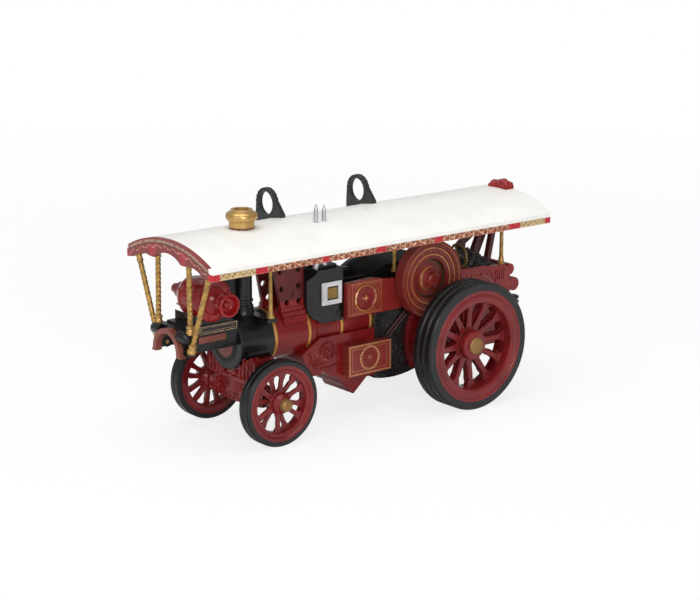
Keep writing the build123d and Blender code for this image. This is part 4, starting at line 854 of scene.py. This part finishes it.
# The arched end boards: red, with a cream band that follows the roof's curve under a thin red edge, a pale
# line along the arches and brighter red corners over the inner pillars.
board = enamel("board", chip(140, 50, 50), chip(116, 36, 38), chip(178, 100, 94), 0.34, 0.3)
roof_r = 31.9
roof_axis_z = 11.2
inner_pillar_y = 5.4
arch_top_z = 38.7
y, z = place_on(board)[1:]
tree = board.node_tree
rise = calc(tree, "SUBTRACT", z, roof_axis_z)
squares = calc(tree, "ADD", calc(tree, "MULTIPLY", y, y), calc(tree, "MULTIPLY", rise, rise))
depth = calc(tree, "SUBTRACT", roof_r, calc(tree, "SQRT", squares))
print_on(board, between(board, depth, 0.4, 0.95), chip(172, 148, 124), worn=0.36)
print_on(board, between(board, depth, 1.0, 1.2), chip(84, 50, 42), worn=0.1)
off_pillar = calc(tree, "ABSOLUTE", calc(tree, "SUBTRACT", calc(tree, "ABSOLUTE", y), inner_pillar_y))
corner_half = calc(tree, "MULTIPLY_ADD", calc(tree, "SUBTRACT", z, arch_top_z), 0.5, 0.5)
corner = both(board, below(board, off_pillar, corner_half), above(board, depth, 1.3))
print_on(board, corner, chip(164, 42, 50), worn=0.2)
ripple = calc(tree, "MULTIPLY_ADD", calc(tree, "SINE", calc(tree, "MULTIPLY", y, 2.2)), 0.25, 1.75)
print_on(board, calc(tree, "COMPARE", depth, ripple, 0.13), chip(196, 150, 126), worn=0.4)
dress(board, "roof_end_boards")


# The front axle: a red saddle under the smokebox with cast bars and bosses, and the beam that swivels on its
# rivet and carries the axle pin.  Rosettes, bolt heads and a wavy line are cast on both.
dress(red_enamel, "perch_bracket", "axle_carrier")
dress(pin_steel, "front_axle", "rear_axle")
saddle_x = 30.5
bosses = bmesh.new()
for side in (1, -1):
    for spot_y, spot_z, r in ((6.6, 15.6, 0.55), (4.1, 15.2, 0.5), (2.0, 13.6, 0.6), (5.2, 13.3, 0.42)):
        turned(bosses, [(0, 0.5), (r * 0.5, 0.46), (r * 0.6, 0.3), (r * 0.9, 0.36), (r, 0.2), (r, -0.15)],
               (saddle_x, side * spot_y, spot_z), (1, 0, 0), 14)
    for i in range(6):
        for spot_z in (12.6, 16.9):
            turned(bosses, [(0, 0.42), (0.14, 0.4), (0.27, 0.28), (0.34, 0.05), (0.34, -0.2)],
                   (saddle_x - 0.1, side * (0.9 + 1.35 * i), spot_z), (1, 0, 0), 10)
make_piece("saddle_bosses", bosses, red_enamel)
beam_x = 29.1
beam_z = 9.0
fittings = bmesh.new()
for side in (1, -1):
    for spot_y, r in ((2.4, 0.95), (6.1, 0.8)):
        turned(fittings, [(0, 0.55), (r * 0.45, 0.52), (r * 0.55, 0.36), (r * 0.8, 0.4), (r, 0.3), (r, -0.2)],
               (beam_x, side * spot_y, beam_z), (1, 0, 0), 18)
    for i in range(7):
        off_middle = 1.75 if i < 4 else 1.1
        for step in (1, -1):
            turned(fittings, [(0, 0.34), (0.14, 0.3), (0.26, 0.2), (0.32, 0)],
                   (beam_x, side * (0.7 + 1.3 * i), beam_z + step * off_middle), (1, 0, 0), 10)
    lay_line(fittings, [(29.15, side * 0.3, 7.9), (29.2, side * 1.2, 10.3), (29.2, side * 3.7, 7.8),
                        (29.2, side * 4.9, 10.2), (29.15, side * 7.4, 8.2)], 0.22)
make_piece("carrier_fittings", fittings, red_enamel, "front_carrier")


# The wheels: spoked castings in red gloss, each with a stepped rim, two rows of flared spokes at different
# depths and a turned hub.  They turn with their axle pin, whose ends wear flat caps in dull gold.
casting_red = enamel("casting_red", chip(130, 36, 37), chip(104, 22, 25), chip(168, 84, 78), 0.28, 0.25)


def spoke_bar(side, hub, rim, width, thick):
    """Mesh of a cast spoke that stands up, flared at both ends; hub and rim are (radius, across)."""
    shape = bmesh.new()
    bmesh.ops.create_cube(shape, size=1)
    upright = [e for e in shape.edges if abs(e.verts[0].co.z - e.verts[1].co.z) > 0.5]
    bmesh.ops.subdivide_edges(shape, edges=upright, cuts=6, use_grid_fill=True)
    for vertex in shape.verts:
        share = vertex.co.z + 0.5
        near_rim = max(0.0, (share - 0.7) / 0.3)
        near_hub = max(0.0, (0.25 - share) / 0.25)
        flare = 1 + 1.1 * near_rim ** 2 + 0.5 * near_hub ** 2
        across = hub[1] + (rim[1] - hub[1]) * share + vertex.co.y * thick
        up = hub[0] + (rim[0] - hub[0]) * share
        vertex.co = Vector((vertex.co.x * width * flare, side * across, up)) * mm
    corners = [e for e in shape.edges if e.calc_face_angle(0) > 1.2
               and abs(e.verts[0].co.z - e.verts[1].co.z) > 0.2 * mm]
    bmesh.ops.bevel(shape, geom=corners, offset=0.14 * mm, segments=2, profile=0.5, affect="EDGES",
                    material=-1)
    bar = bpy.data.meshes.new("spoke_bar")
    shape.to_mesh(bar)
    shape.free()
    return bar


def spoked_wheel(node, axle, side, rim, hub, rows, count, width, thick, body):
    """Wheel from a closed rim profile, a hub profile and spoke rows of (turn, hub end, rim end)."""
    shape = bmesh.new()
    turned(shape, rim, axle, (0, side, 0), 96)
    turned(shape, hub, axle, (0, side, 0), 40)
    for turn, hub_end, rim_end in rows:
        bar = spoke_bar(side, hub_end, rim_end, width, thick)
        bar.transform(Matrix.Rotation(math.radians(turn), 4, "Y"))
        for i in range(count):
            placed = bar.copy()
            round_axle = Matrix.Rotation(math.tau * i / count, 4, "Y")
            placed.transform(Matrix.Translation(Vector(axle) * mm) @ round_axle)
            shape.from_mesh(placed)
            bpy.data.meshes.remove(placed)
        bpy.data.meshes.remove(bar)
    wheel = make_piece(node.replace("_wheel", "_spoked_wheel"), shape, casting_red, body)
    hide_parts(node)


rear_axle = (-21.1, 0, 14)
rear_rim = [(12.18, 13.75), (12.18, 19.35), (11.75, 19.35), (11.6, 19.28), (11.5, 19.16), (11.4, 19.16),
            (11.3, 19.24), (10.6, 19.26), (9.8, 19.22), (9.6, 19.1), (9.5, 18.8), (9.5, 14.4), (9.7, 14.0),
            (10.0, 13.75), (12.18, 13.75)]
rear_hub = [(0, 18.5), (1.95, 18.5), (2.1, 18.45), (2.15, 18.25), (2.7, 18.25), (3.05, 18.1), (3.2, 17.8),
            (3.25, 17.2), (3.2, 16.3), (3.35, 16.1), (3.35, 14.0), (3.1, 13.6), (2.6, 13.4), (2.6, 13.25),
            (0, 13.25)]
rear_rows = ((2, (3.0, 15.9), (9.7, 16.6)), (4, (3.0, 14.5), (9.7, 15.5)))
front_axle = (27.2, 0, 9)
front_rim = [(7.88, 10.8), (7.88, 13.8), (7.3, 13.8), (7.18, 13.65), (7.1, 13.5), (6.98, 13.5), (6.9, 13.62),
             (6.4, 13.62), (6.2, 13.5), (6.1, 13.2), (6.1, 11.3), (6.25, 10.95), (6.5, 10.8), (7.88, 10.8)]
front_hub = [(0, 14.5), (1.45, 14.5), (1.55, 14.2), (1.75, 13.9), (2.1, 13.6), (2.2, 13.2), (2.25, 12.8),
             (2.45, 12.6), (2.45, 11.2), (2.2, 10.8), (1.84, 10.3), (0, 10.3)]
front_rows = ((54, (2.1, 12.35), (6.3, 12.6)), (18, (2.1, 11.6), (6.3, 12.0)))
for side, hand in ((1, "left"), (-1, "right")):
    spoked_wheel("rear_wheel_" + hand, rear_axle, side, rear_rim, rear_hub, rear_rows, 12, 1.25, 0.8,
                 "rear_wheelset")
    spoked_wheel("front_wheel_" + hand, front_axle, side, front_rim, front_hub, front_rows, 6, 0.95, 0.65,
                 "front_wheelset")
hub_gold = enamel("hub_gold", chip(158, 122, 78), chip(126, 90, 48), chip(204, 168, 112), 0.42, 0.1,
                  metal=0.6)
dress(hub_gold, "front_hub_caps")
caps = bmesh.new()
for side in (1, -1):
    turned(caps, [(0, 19.1), (1.1, 19.08), (1.6, 18.98), (1.85, 18.8), (1.9, 18.45)], rear_axle,
           (0, side, 0), 32)
rear_caps = make_piece("rear_caps", caps, hub_gold, "rear_wheelset")
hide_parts("rear_hub_caps")


# The tyres: bands of dull black rubber pressed over the rims, darker and scuffed round the tread, which rolls
# on the table.
def tyre_rubber(name, axle):
    """Rubber of the tyres on one axle, whose height is the wheel's radius."""
    rubber = enamel(name, chip(45, 44, 46), chip(34, 34, 36), chip(66, 65, 64), 0.45, 0.0, peel=0.03,
                    shine=0.3)
    x, _, z = place_on(rubber)
    tread = ring_on(rubber, x, z, (axle[0], axle[2]), axle[2] + 0.6, 0.92)
    print_on(rubber, tread, chip(15, 16, 17), 0.34, worn=0.0)
    scuffs = above(rubber, cloud(rubber.node_tree, 380.0, 5.0), 0.62)
    print_on(rubber, both(rubber, tread, scuffs), chip(34, 35, 36), 0.3, worn=0.4)
    return rubber


dress(tyre_rubber("front_rubber", front_axle), "front_tyre_left", "front_tyre_right")
dress(tyre_rubber("rear_rubber", rear_axle), "rear_tyre_left", "rear_tyre_right")


size = {"cad": cad_box, "dressed": [list(corner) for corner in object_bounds()]}
